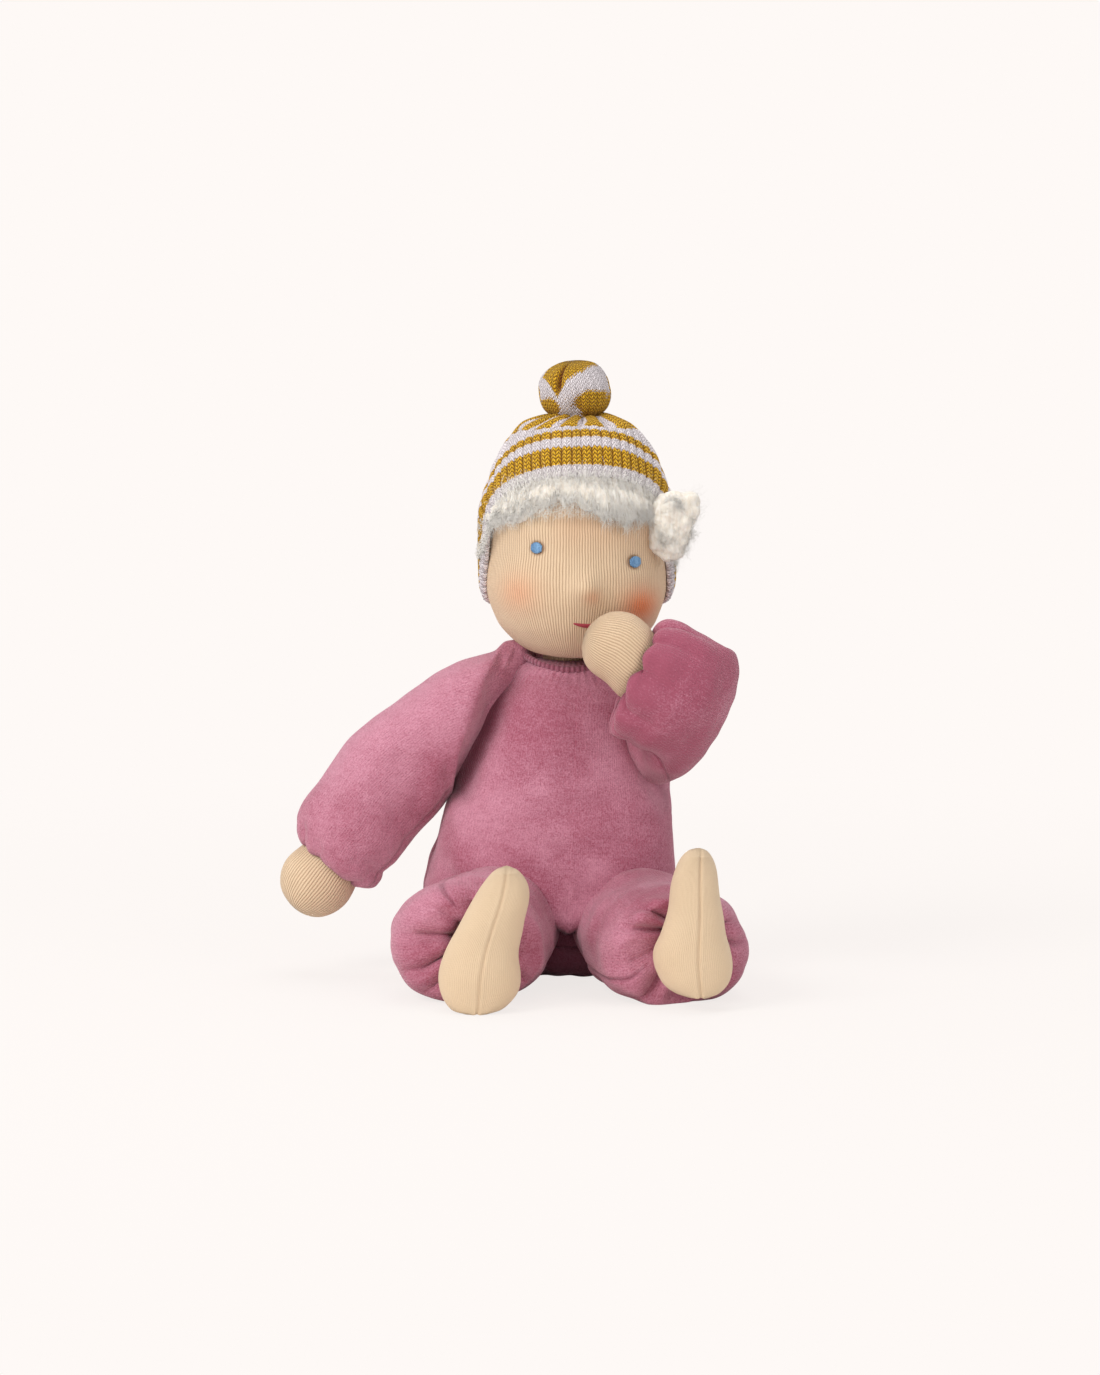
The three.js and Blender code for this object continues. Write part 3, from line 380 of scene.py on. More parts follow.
@dataclass(frozen=True)
class Filling:
    """Wool pushed into sewn cloth, which swells it against its seams and gathers."""

    pressure: float = 4.0
    slack: float = 0.03
    most: float = 2.2
    kept: float = 0.35
    frames: int = 20
    step: int = 5

    def swell(self, grid: Array, held: Array) -> Array:
        """A piece's shape after a cloth simulation.

        A coarse copy of the grid is pinned where held is 1 and blown up without gravity. Each point's move m
        is shortened to most * tanh(m / most), the mean swelling is mostly taken back so that the piece keeps
        its size, and the moves are read at the fine grid's points by splines.

        Args:
            grid: points of shape (1 + step * n, step * m, 3) in millimetres.
            held: how firmly each row is held, of shape (rows,).

        Returns:
            The moved points.
        """
        coarse = grid[::self.step, ::self.step]
        rows, sides, _ = coarse.shape
        trial = build("trial", coarse)
        pins = trial.vertex_groups.new(name="held")
        for row, firm in enumerate(held[::self.step]):
            pins.add(list(range(row * sides, (row + 1) * sides)), float(firm), "REPLACE")
        pins.add([rows * sides, rows * sides + 1], 1.0, "REPLACE")
        self.set_up(trial)
        scene = bpy.context.scene
        for frame in range(1, self.frames + 1):
            scene.frame_set(frame)
        swollen = trial.evaluated_get(bpy.context.evaluated_depsgraph_get()).to_mesh()
        after = np.empty(len(swollen.vertices) * 3)
        swollen.vertices.foreach_get("co", after)
        moved = after.reshape(-1, 3)[:rows * sides].reshape(coarse.shape) / MM - coarse
        mesh = trial.data
        bpy.data.objects.remove(trial)
        bpy.data.meshes.remove(mesh)
        scene.frame_set(1)
        size = np.linalg.norm(moved, axis=-1, keepdims=True)
        moved = moved * np.tanh(size / self.most) * self.most / np.maximum(size, 1e-9)
        free = (1 - held[::self.step])[:, None]
        out = normals_of(coarse)
        swelling = ((moved * out).sum(-1) * free).sum() / (free.sum() * sides)
        moved = moved - out * (swelling * (1 - self.kept) * free)[..., None]
        LOG.info("swelling %.2f mm on average, %.2f mm at most", swelling, float(np.abs(moved).max()))
        return grid + np.einsum(
            "ri,ijk,sj->rsk", spline_weights(grid.shape[0], rows, False), moved,
            spline_weights(grid.shape[1], sides, True))

    def set_up(self, trial: bpy.types.Object) -> None:
        """Gives the coarse copy its cloth."""
        cloth = trial.modifiers.new("cloth", "CLOTH")
        cloth.point_cache.frame_start = 1
        cloth.point_cache.frame_end = self.frames
        cloth.collision_settings.use_collision = False
        made = cloth.settings
        made.vertex_group_mass = "held"
        made.use_pressure = True
        made.uniform_pressure_force = self.pressure
        made.shrink_min = -self.slack
        made.tension_stiffness = 20.0
        made.compression_stiffness = 12.0
        made.bending_stiffness = 0.4
        made.air_damping = 4.0
        made.effector_weights.gravity = 0.0


# ---------------------------------------------------------------- finishes


class Wire:
    """A node's output inside a formula: the usual operators add Math nodes to its tree."""

    def __init__(self, tree: "Tree", socket: bpy.types.NodeSocket) -> None:
        """Wraps a socket."""
        self.tree = tree
        self.socket = socket

    def __add__(self, other: object) -> "Wire":
        """The sum."""
        return self.tree.math("ADD", self, other)

    def __sub__(self, other: object) -> "Wire":
        """The difference."""
        return self.tree.math("SUBTRACT", self, other)

    def __rsub__(self, other: object) -> "Wire":
        """The difference from a plain number."""
        return self.tree.math("SUBTRACT", other, self)

    def __mul__(self, other: object) -> "Wire":
        """The product."""
        return self.tree.math("MULTIPLY", self, other)

    def __truediv__(self, other: object) -> "Wire":
        """The quotient."""
        return self.tree.math("DIVIDE", self, other)

    def __pow__(self, power: float) -> "Wire":
        """The power."""
        return self.tree.math("POWER", self, power)

    def fraction(self) -> "Wire":
        """What is past the last whole number."""
        return self.tree.math("FRACT", self)

    def wave(self) -> "Wire":
        """|sin(pi value)|, which is 0 at every whole number and 1 between them."""
        return self.tree.math("ABSOLUTE", self.tree.math("SINE", self * math.pi))


class Tree:
    """A node tree being wired, with short calls for the nodes that these finishes use."""

    def __init__(self, tree: bpy.types.NodeTree) -> None:
        """Starts on an empty tree."""
        self.tree = tree
        self.tree.nodes.clear()

    def node(self, kind: str, inputs: Optional[Dict[object, object]] = None, **settings: object) -> bpy.types.Node:
        """A new node of a kind, with its properties set and its inputs fed."""
        made = self.tree.nodes.new(kind)
        for key, value in settings.items():
            setattr(made, key, value)
        for key, value in (inputs or {}).items():
            self.feed(made.inputs[key], value)
        return made

    def feed(self, socket: bpy.types.NodeSocket, value: object) -> None:
        """Links a socket or a wire into another, or sets a plain value on it."""
        value = value.socket if isinstance(value, Wire) else value
        if isinstance(value, bpy.types.NodeSocket):
            self.tree.links.new(value, socket)
        elif isinstance(value, tuple) and len(value) == 3 and socket.type == "RGBA":
            socket.default_value = (*value, 1.0)
        else:
            socket.default_value = value

    def math(self, operation: str, *terms: object) -> Wire:
        """A Math node's result."""
        return Wire(self, self.node("ShaderNodeMath", dict(enumerate(terms)), operation=operation).outputs[0])

    def mix(self, share: object, one: object, other: object) -> Wire:
        """A colour between two colours."""
        return Wire(self, self.node("ShaderNodeMix", {0: share, 6: one, 7: other}, data_type="RGBA").outputs[2])

    def step(self, value: object, low: float, high: float) -> Wire:
        """A smooth step from 0 at low to 1 at high."""
        given = {"Value": value, "From Min": low, "From Max": high}
        return Wire(self, self.node("ShaderNodeMapRange", given, interpolation_type="SMOOTHSTEP").outputs[0])

    def noise(self, vector: object, scale: float, detail: float = 2.0, rough: float = 0.5) -> Wire:
        """A noise value from 0 to 1."""
        given = {"Vector": vector, "Scale": scale, "Detail": detail, "Roughness": rough}
        return Wire(self, self.node("ShaderNodeTexNoise", given).outputs[0])

    def stretch(self, vector: object, factors: Point) -> Wire:
        """A vector with each axis multiplied by its own factor."""
        return Wire(self, self.node("ShaderNodeVectorMath", {0: vector, 1: factors}, operation="MULTIPLY").outputs[0])

    def place_in(self, space: str) -> Wire:
        """The place on the surface, in the object's own metres or in its cloth's."""
        return Wire(self, self.node("ShaderNodeTexCoord").outputs[space])

    def value_of(self, attribute: str) -> Wire:
        """A piece's own attribute as a number."""
        return Wire(self, self.node("ShaderNodeAttribute", attribute_name=attribute).outputs["Fac"])

    def shared(self, made: bpy.types.NodeTree, **inputs: object) -> Dict[str, Wire]:
        """A shared group placed here with its own values: its outputs by name."""
        return {socket.name: Wire(self, socket)
                for socket in self.node("ShaderNodeGroup", inputs, node_tree=made).outputs}


def group(name: str, inputs: Dict[str, Optional[float]],
          wire: Callable[[Tree, Dict[str, Wire]], Dict[str, Wire]]) -> bpy.types.NodeTree:
    """A shader node group, built once.

    Args:
        name: the group's name.
        inputs: each input's default by name, or None where it takes a vector.
        wire: makes the outputs, by name, from the inputs.

    Returns:
        The group.
    """
    if name in bpy.data.node_groups:
        return bpy.data.node_groups[name]
    made = bpy.data.node_groups.new(name, "ShaderNodeTree")
    tree = Tree(made)
    for key, default in inputs.items():
        kind = "NodeSocketVector" if default is None else "NodeSocketFloat"
        socket = made.interface.new_socket(key, in_out="INPUT", socket_type=kind)
        if default is not None:
            socket.default_value = default
    source = tree.node("NodeGroupInput")
    outputs = wire(tree, {key: Wire(tree, source.outputs[key]) for key in inputs})
    for key in outputs:
        made.interface.new_socket(key, in_out="OUTPUT", socket_type="NodeSocketFloat")
    tree.node("NodeGroupOutput", outputs)
    return made


def wire_knit(tree: Tree, given: Dict[str, Wire]) -> Dict[str, Wire]:
    """Fine knit: rounded wales across, crossed by shallow rows, both a little uneven."""
    split = tree.node("ShaderNodeSeparateXYZ", {0: given["Cloth"]})
    drift = tree.noise(given["Cloth"], 180.0, 1.0) * given["Drift"]
    wale = (Wire(tree, split.outputs[0]) / given["Wale"] + drift).wave()
    row = (Wire(tree, split.outputs[1]) / given["Row"] + drift).wave()
    return {"Height": wale ** 0.6 * 0.88 + row * 0.12, "Groove": 1.0 - wale ** 0.75}


def fine_knit() -> bpy.types.NodeTree:
    """The fine knit's group: height and groove from the cloth's own coordinates, all in metres."""
    return group("fine_knit", {"Cloth": None, "Wale": 0.0012, "Row": 0.0009, "Drift": 0.4}, wire_knit)


def wire_pile(tree: Tree, given: Dict[str, Wire]) -> Dict[str, Wire]:
    """Brushed pile: clouds where the pile lies over, streaks within them, and a fine grain of fibre ends."""
    place = given["Place"]
    wander = tree.node("ShaderNodeTexNoise", {"Vector": place, "Scale": 55.0}).outputs["Color"]
    warp = tree.node("ShaderNodeVectorMath", {0: wander, 1: (0.012, 0.012, 0.016), 2: place}, operation="MULTIPLY_ADD")
    warped = Wire(tree, warp.outputs[0])
    clouds = tree.noise(warped, 26.0)
    streaks = tree.noise(tree.stretch(warped, (0.6, 0.6, 1.5)), 300.0, 4.0, 0.75)
    lying = tree.step(clouds, 0.36, 0.64) * 0.68 + tree.step(streaks, 0.30, 0.70) * 0.32
    return {"Lying": lying, "Grain": tree.noise(place, 1500.0, 3.0, 0.8)}


def brushed_pile() -> bpy.types.NodeTree:
    """The brushed pile's group: how far the pile lies over, and the grain of its fibres."""
    return group("brushed_pile", {"Place": None}, wire_pile)


def new_material(name: str, plain: Dict[str, object]) -> Tuple[bpy.types.Material, Tree, bpy.types.Node]:
    """A material with its tree and its Principled shader, whose plain values are set on its own sockets."""
    made = bpy.data.materials.new(name)
    made.use_nodes = True
    tree = Tree(made.node_tree)
    shader = tree.node("ShaderNodeBsdfPrincipled", plain)
    tree.node("ShaderNodeOutputMaterial", {"Surface": shader.outputs[0]})
    return made, tree, shader


def raise_surface(tree: Tree, shader: bpy.types.Node, height: object, depth: float) -> None:
    """Feeds a height in the range 0 to 1 into the shader's normal, as a relief of that depth in metres."""
    relief = tree.node("ShaderNodeBump", {"Strength": 1.0, "Distance": depth, "Height": height})
    tree.feed(shader.inputs["Normal"], relief.outputs[0])


@dataclass(frozen=True)
class Velour:
    """Brushed cotton velour: a rose pile, paler in clouds where it lies over.

    A piece's "nap" attribute makes the pile paler above 0 and darker below it: partly the way the pile is
    brushed, partly painted highlight and painted shade. "hollow" darkens it towards its ground: along seams and
    drawn threads, and as painted shade in creases, gathers, turned-in ends and under overhangs.
    """

    name: str = "rose_velour"
    deep: Colour = (0.400, 0.100, 0.158)
    pale: Colour = (0.710, 0.318, 0.425)
    # The colour of darker seams and of painted shade.
    hollow: Colour = (0.150, 0.030, 0.052)
    sheen: float = 0.48
    relief: float = 0.00055
    clouds: float = 0.74
    grain: float = 2.4
    knit: float = 0.13
    paleness: float = 0.12

    def make(self) -> bpy.types.Material:
        """Builds the material."""
        made, tree, shader = new_material(self.name, {
            "Roughness": 0.92, "Sheen Weight": self.sheen, "Sheen Roughness": 0.40,
            "Sheen Tint": (1.0, 0.82, 0.88), "Specular IOR Level": 0.12})
        pile = tree.shared(brushed_pile(), Place=tree.place_in("Object"))
        knit = tree.shared(fine_knit(), Cloth=tree.place_in("UV"), Wale=0.0013, Row=0.0011, Drift=0.8)
        lying = pile["Lying"] * self.clouds + (pile["Grain"] - 0.5) * self.grain
        # nap: the pile's brushing, with painted highlight and painted shade on some pieces.
        lying = lying - knit["Groove"] * self.knit + tree.value_of("nap") + self.paleness
        colour = tree.mix(lying, self.deep, self.pale)
        # hollow: darker seams and drawn threads, and painted shade in creases, gathers and under overhangs.
        tree.feed(shader.inputs["Base Color"], tree.mix(tree.value_of("hollow"), colour, self.hollow))
        raise_surface(tree, shader, pile["Grain"] * 0.8 + knit["Height"] * 0.25, self.relief)
        return made


@dataclass(frozen=True)
class Tricot:
    """Fine skin-coloured cotton knit with narrow wales.

    A piece's "blush" attribute is colour worked into the cheeks, with painted shade under the nose and under
    the fringe; "shade" is painted shade round the eyes, under the fringe and over a whole hand, and a darker line along
    the sole's seam.
    """

    name: str = "skin_tricot"
    light: Colour = (0.830, 0.632, 0.435)
    groove: Colour = (0.510, 0.270, 0.120)
    # The cheeks' colour, also used for painted shade under the nose and under the fringe.
    blush: Colour = (0.900, 0.240, 0.080)
    shade: Colour = (0.300, 0.130, 0.055)
    wale: float = 0.0012
    row: float = 0.00095
    contrast: float = 0.66
    relief: float = 0.00040

    def make(self) -> bpy.types.Material:
        """Builds the material."""
        made, tree, shader = new_material(self.name, {
            "Roughness": 0.88, "Sheen Weight": 0.18, "Sheen Roughness": 0.5, "Specular IOR Level": 0.2})
        place = tree.place_in("Object")
        knit = tree.shared(fine_knit(), Cloth=tree.place_in("UV"), Wale=self.wale, Row=self.row, Drift=0.5)
        groove = knit["Groove"] * (tree.noise(place, 140.0, 3.0, 0.6) + 0.30)
        colour = tree.mix(groove * self.contrast, self.light, self.groove)
        grain = tree.step(tree.noise(place, 2200.0, 2.0, 0.7), 0.42, 0.75)
        colour = tree.mix(grain * 0.14, colour, self.groove)
        # Cheek colour, and painted shade under the nose and under the fringe, in one warm colour.
        colour = tree.mix(tree.value_of("blush") * (knit["Height"] * 0.35 + 0.70), colour, self.blush)
        tree.feed(shader.inputs["Base Color"], tree.mix(tree.value_of("shade"), colour, self.shade))
        raise_surface(tree, shader, knit["Height"], self.relief)
        return made


@dataclass(frozen=True)
class RibKnit:
    """Two-colour rib knit of chunky V stitches.

    "across" counts stitch columns, "along" is the distance across the rows in metres, "band" is above zero
    where the yarn is mustard, and "valley" is 1 at the bottom between two ribs, where it is painted shade.
    """

    name: str = "striped_rib_knit"
    mustard: Colour = (0.960, 0.560, 0.030)
    mustard_deep: Colour = (0.200, 0.045, 0.001)
    lilac: Colour = (0.985, 0.915, 0.950)
    lilac_deep: Colour = (0.500, 0.300, 0.345)
    stitch: float = 0.00165
    relief: float = 0.00080

    def make(self) -> bpy.types.Material:
        """Builds the material: a loop's height falls off towards the next row and the next column."""
        made, tree, shader = new_material(self.name, {
            "Roughness": 0.85, "Sheen Weight": 0.10, "Sheen Roughness": 0.5,
            "Sheen Tint": (1.0, 0.93, 0.88), "Specular IOR Level": 0.1})
        uneven = tree.noise(tree.place_in("Object"), 420.0, 2.0, 0.6) - 0.5
        across = tree.value_of("across") + uneven * 0.30
        along = tree.value_of("along") / self.stitch + uneven * 0.5
        half = tree.math("ABSOLUTE", across.fraction() - 0.5)
        slant = along + half * 1.5
        loop = slant.wave() ** 1.1
        middle = 1.0 - tree.step(half, 0.0, 0.12)
        split = tree.math("MAXIMUM", middle * 0.35, tree.step(half, 0.36, 0.50) * 0.60)
        jag = (slant.fraction() - 0.5) * 0.0008
        band = tree.step(tree.value_of("band") + jag, -0.00012, 0.00012)
        low = tree.step(loop, 0.70, 0.10) * 0.95
        # The gaps between loops and between columns, and the valleys, take the deep colours: painted shade.
        shade = tree.math("MAXIMUM", tree.value_of("valley"), tree.math("MAXIMUM", low, split))
        shade = tree.math("MINIMUM", shade, 1.0)
        yellow = tree.mix(shade, self.mustard, self.mustard_deep)
        pale = tree.mix(shade * 0.14, self.lilac, self.lilac_deep)
        tree.feed(shader.inputs["Base Color"], tree.mix(band, pale, yellow))
        raise_surface(tree, shader, loop - split, self.relief)
        return made


@dataclass(frozen=True)
class Fibre:
    """Loose fibre, such as mohair: light passes through it, and every strand is a little lighter or darker."""

    name: str = "ivory_mohair"
    dark: Colour = (0.765, 0.690, 0.590)
    light: Colour = (0.950, 0.910, 0.850)
    sheen: float = 0.4
    through: float = 0.5
    depth: float = 0.0012
    relief: float = 0.0004

    def make(self) -> bpy.types.Material:
        """Builds the material: upright streaks of fibre in colour and relief."""
        made, tree, shader = new_material(self.name, {
            "Roughness": 0.7, "Sheen Weight": self.sheen, "Specular IOR Level": 0.2,
            "Subsurface Weight": self.through, "Subsurface Radius": (1.0, 0.92, 0.80), "Subsurface Scale": self.depth})
        place = tree.place_in("Object")
        streak = tree.noise(tree.stretch(place, (1.0, 1.0, 0.24)), 1100.0, 4.0, 0.7)
        share = tree.value_of("fibre") * 0.40 + tree.noise(place, 110.0) * 0.25 + tree.step(streak, 0.35, 0.62) * 0.45
        tree.feed(shader.inputs["Base Color"], tree.mix(share, self.dark, self.light))
        if self.relief:
            raise_surface(tree, shader, streak, self.relief)
        return made


@dataclass(frozen=True)
class Thread:
    """Stranded cotton: a soft shine broken by the twist."""

    name: str
    colour: Colour
    dark: Colour
    twist: float = 2600.0
    relief: float = 0.00008

    def make(self) -> bpy.types.Material:
        """Builds the material."""
        made, tree, shader = new_material(self.name, {"Roughness": 0.5, "Specular IOR Level": 0.4})
        fibre = tree.noise(tree.place_in("Object"), self.twist, 2.0, 0.6)
        share = tree.step(fibre, 0.35, 0.7) * 0.45 + tree.value_of("fibre") * 0.55
        tree.feed(shader.inputs["Base Color"], tree.mix(share, self.colour, self.dark))
        raise_surface(tree, shader, fibre, self.relief)
        return made


class Wardrobe:
    """Every finish of the doll, made once."""

    def __init__(self) -> None:
        """Makes the materials."""
        self.velour = Velour().make()
        self.tricot = Tricot().make()
        self.sole = Tricot(name="foot_tricot", light=(0.800, 0.615, 0.420), groove=(0.600, 0.400, 0.230),
                           wale=0.0008, row=0.0008, contrast=0.25, relief=0.00015).make()
        self.knit = RibKnit().make()
        self.mohair = Fibre().make()
        # A lighter copy of the mohair for the loose fibres: painted light that makes up for the shade they cast on each
        # other.
        self.strand = Fibre(name="ivory_mohair_strand", dark=(0.930, 0.875, 0.800), light=(0.985, 0.965, 0.930),
                            sheen=0.0, through=0.0, relief=0.0).make()
        self.eye = Thread("blue_thread", (0.270, 0.490, 0.760), (0.050, 0.150, 0.330)).make()
        self.mouth = Thread("rose_thread", (0.520, 0.075, 0.100), (0.300, 0.030, 0.050)).make()


def dress(piece: bpy.types.Object, material: bpy.types.Material, nodes: Sequence[str],
          body: Optional[str] = None) -> bpy.types.Object:
    """Gives a piece its material and its place in the frame.

    Args:
        piece: the finished mesh object.
        material: its finish.
        nodes: the frame's nodes that it stands for.
        body: the body it rides on, or None to leave it unattached.

    Returns:
        The piece.
    """
    piece.data.materials.append(material)
    if body:
        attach(piece, body)
    if nodes:
        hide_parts(*nodes)
    LOG.info("%s: %d faces", piece.name, len(piece.data.polygons))
    return piece


# ---------------------------------------------------------------- head


@dataclass
class HeadForm:
    """The head's round form, shared by the face, the wig and the cap."""

    half_width: float = 35.0
    half_depth: float = 36.0
    height: float = 85.0
    chin: float = 124.0
    aside: float = 4.2
    forward: float = -12.0
    outline: Sequence[Tuple[float, float]] = (
        (0.03, 0.27), (0, 0.38), (0.008, 0.50), (0.035, 0.62), (0.075, 0.735), (0.125, 0.84), (0.18, 0.905),
        (0.25, 0.965), (0.34, 0.995), (0.45, 1), (0.52, 0.99), (0.64, 0.95), (0.76, 0.855), (0.87, 0.69), (0.95, 0.46),
        (1, 0),
    )

    def __post_init__(self) -> None:
        """Reads the outline finely, from the crown down, with its arc length."""
        read = through(self.outline, 900)[::-1]
        self.height_at = self.chin + read[:, 0] * self.height
        self.radius_at = np.maximum(read[:, 1] * self.half_width, 0)
        steps = np.hypot(np.diff(self.height_at), np.diff(self.radius_at))
        self.arc_at = np.concatenate([[0], np.cumsum(steps)])
        run = unit(np.stack([np.gradient(self.radius_at), np.gradient(self.height_at)], -1))
        self.out_at = -run[:, 1]
        self.up_at = run[:, 0]

    @property
    def length(self) -> float:
        """The arc from the crown to the neck opening."""
        return float(self.arc_at[-1])

    def arc_of(self, height: Array) -> Array:
        """The arc from the crown down to a height above the chin's fullest line."""
        upper = np.argmax(self.height_at < self.chin + 0.03 * self.height)
        return np.interp(-np.asarray(height), -self.height_at[:upper], self.arc_at[:upper])

    def radius(self, height: Array) -> Array:
        """The half width at a height above the chin's fullest line."""
        return np.interp(self.arc_of(height), self.arc_at, self.radius_at)

    def point(self, arc: Array, azimuth: Array, off: Array) -> Array:
        """Points over the head.

        A point is the outline's point at that arc, moved off along the outline's normal and turned by the
        azimuth from the face: x = aside + r sin(a), y = forward - r cos(a) * depth share.

        Args:
            arc: arc from the crown in millimetres.
            azimuth: radians from the face, positive towards the doll's left.
            off: distance off the surface.

        Returns:
            Points with a last axis of 3.
        """
        radius = np.interp(arc, self.arc_at, self.radius_at) + off * np.interp(arc, self.arc_at, self.out_at)
        height = np.interp(arc, self.arc_at, self.height_at) + off * np.interp(arc, self.arc_at, self.up_at)
        depth = self.half_depth / self.half_width
        return np.stack(np.broadcast_arrays(
            self.aside + radius * np.sin(azimuth), self.forward - radius * np.cos(azimuth) * depth, height), -1)

    def face_point(self, aside: Array, height: Array, off: float = 0.0) -> Array:
        """Points on the face at a sideways place and height, seen from the front."""
        radius = self.radius(height) + off
        across = np.clip((np.asarray(aside) - self.aside) / radius, -1, 1)
        ahead = self.forward - radius * np.sqrt(1 - across**2) * (self.half_depth / self.half_width)
        return np.stack(np.broadcast_arrays(np.asarray(aside, float), ahead, np.asarray(height, float)), -1)


@dataclass
class Face:
    """The tricot head with its nose, eyes and mouth."""

    form: HeadForm
    nose: Tuple[float, float] = (7.4, 151.6)
    nose_radius: float = 5.0
    nose_relief: float = 3.4
    eyes: Dict[Side, Tuple[float, float]] = field(default_factory=lambda: {
        Side.RIGHT: (-11.2, 166.2), Side.LEFT: (26.1, 160.6)})
    eye_radius: float = 2.0
    stitches: int = 7
    thread_radius: float = 0.42
    thread_sides: int = 8
    mouth_points: int = 26
    rows: int = 230
    sides: int = 400
    # Spots of colour on the cheeks: x, z, spread and strength.
    blush: Sequence[Tuple[float, float, float, float]] = ((-17.6, 149.0, 7.0, 0.34), (28.0, 143.8, 6.4, 0.92))
    mouth_line: Sequence[Tuple[float, float]] = ((2.7, 137.7), (5.6, 137.0), (8.6, 136.7), (11.6, 137.0), (14.4, 137.8))

    def relief(self, points: Array) -> Array:
        """How far the face stands off its round form: nose and cheeks out, the tied eye line a little in."""
        front = ease(0, 0.6, -(points[..., 1] - self.form.forward) / self.form.half_depth)
        from_nose = np.hypot(points[..., 0] - self.nose[0], (points[..., 2] - self.nose[1]) * 0.95)
        nose = self.nose_relief * bump(from_nose, 0, self.nose_radius)
        bridge = 0.5 * bump(from_nose, 0, self.nose_radius * 2.4)
        line = -1.0 * bump(points[..., 2], 164.5, 6.5) * (1 - 0.5 * bump(points[..., 0], self.nose[0], 6.0))
        sockets = sum(-0.9 * bump(points[..., 0], x, 3.4) * bump(points[..., 2], z, 3.2) for x, z in self.eyes.values())
        cheeks = sum(0.9 * bump(points[..., 0], x, 10.0) * bump(points[..., 2], z, 9.0) for x, z, _, _ in self.blush)
        chin = 0.5 * bump(points[..., 0], 6.0, 9.0) * bump(points[..., 2], 130.0, 5.0)
        return front * (nose + bridge + line + sockets + cheeks + chin) + 0.25 * lumps(points, 26.0, 3)

    def head(self) -> bpy.types.Object:
        """The head: rings by arc and azimuth, moved out by the relief, with cheek colour and painted shade worked out
        at each point.
        """
        arc = np.linspace(0.6, self.form.length, self.rows)[:, None]
        azimuth = np.linspace(0, TAU, self.sides, endpoint=False)[None, :] + math.pi
        flat = self.form.point(arc, azimuth, 0.0)
        grid = self.form.point(arc, azimuth, self.relief(flat) * ease(0, 12, arc))
        front = ease(0, 0.7, -(flat[..., 1] - self.form.forward) / self.form.half_depth)
        grid[..., 2] -= 1.6 * front * bump(flat[..., 2], self.form.chin, 7.0)
        before = flat[..., 1] < self.form.forward
        rubbed_and_shaded = np.zeros(grid.shape[:2])
        for x, z, spread, strength in self.blush:
            reach = np.hypot(flat[..., 0] - x, flat[..., 2] - z) / spread
            rubbed_and_shaded += strength * bump(reach, 0, 1) * before
        # Painted shade under the nose, in the cheeks' colour.
        under_nose = np.hypot(flat[..., 0] - self.nose[0] - 2.5, flat[..., 2] - self.nose[1] + 3.5) / 3.0
        rubbed_and_shaded += 0.26 * bump(under_nose, 0, 1) * before
        # brow: painted shadow of the fringe across the forehead, warm and a little darker.
        brow = bump(flat[..., 2], 176.0, 9.0) * ease(-12, 4, flat[..., 0])
        # Painted shade in a ring round each drawn-in eye.
        drawn_in = sum(bump(np.hypot(flat[..., 0] - x, flat[..., 2] - z), self.eye_radius + 0.2, 0.7)
                       for x, z in self.eyes.values())
        shaded = (0.75 * drawn_in + 0.07 * brow) * before
        return build("head_tricot", grid, {"blush": rubbed_and_shaded + 0.10 * brow * before, "shade": shaded})

    def satin(self, name: str, centre: Tuple[float, float], lean: float) -> bpy.types.Object:
        """A satin-stitched disc: side-by-side threads, each as long as the disc's chord and bowed outwards."""
        offset = np.linspace(-1, 1, self.stitches) * (self.eye_radius - 0.3)
        half = np.sqrt(np.maximum((self.eye_radius * 1.06) ** 2 - offset**2, 0.5))
        run = np.linspace(-1, 1, 9)
        across = offset[:, None] + 0 * run[None, :]
        down = half[:, None] * run[None, :]
        x = centre[0] + across * math.cos(lean) - down * math.sin(lean)
        z = centre[1] + across * math.sin(lean) + down * math.cos(lean)
        flat = self.form.face_point(x, z)
        dome = 0.75 * (1 - (np.hypot(across, down) / (self.eye_radius + 0.5)) ** 2)
        flat[..., 1] += -self.relief(flat) - 0.05 - np.clip(dome, -0.05, 1)
        radii = self.thread_radius * (1 - 0.35 * run[None, :] ** 6) + 0 * across
        return strands(name, flat, radii, self.thread_sides)

    def smile(self) -> bpy.types.Object:
        """The mouth: two long stitches side by side along a smile, full in the middle and fine at the ends."""
        line = through(self.mouth_line, self.mouth_points)
        share = np.linspace(-1, 1, self.mouth_points)
        paths, radii = [], []
        for step in (-0.5, 0.5):
            flat = self.form.face_point(line[:, 0], line[:, 1] + step * 0.55 * (1 - share**2))
            flat[:, 1] += -self.relief(flat) - 0.12
            paths.append(flat)
            radii.append(0.16 + 0.40 * (1 - share**2) ** 0.6)
        return strands("mouth_stitches", np.array(paths), np.array(radii), self.thread_sides)

    def make(self, wardrobe: Wardrobe) -> None:
        """Builds and dresses the face."""
        head = dress(self.head(), wardrobe.tricot, ["head_skin", "head_core", "nose"], "head")
        for side, centre in self.eyes.items():
            eye = self.satin(f"eye_stitches_{side.word}", centre, 0.10 * side.value)
            dress(eye, wardrobe.eye, [f"eye_{side.word}"], "head")
        dress(self.smile(), wardrobe.mouth, ["mouth"], "head")


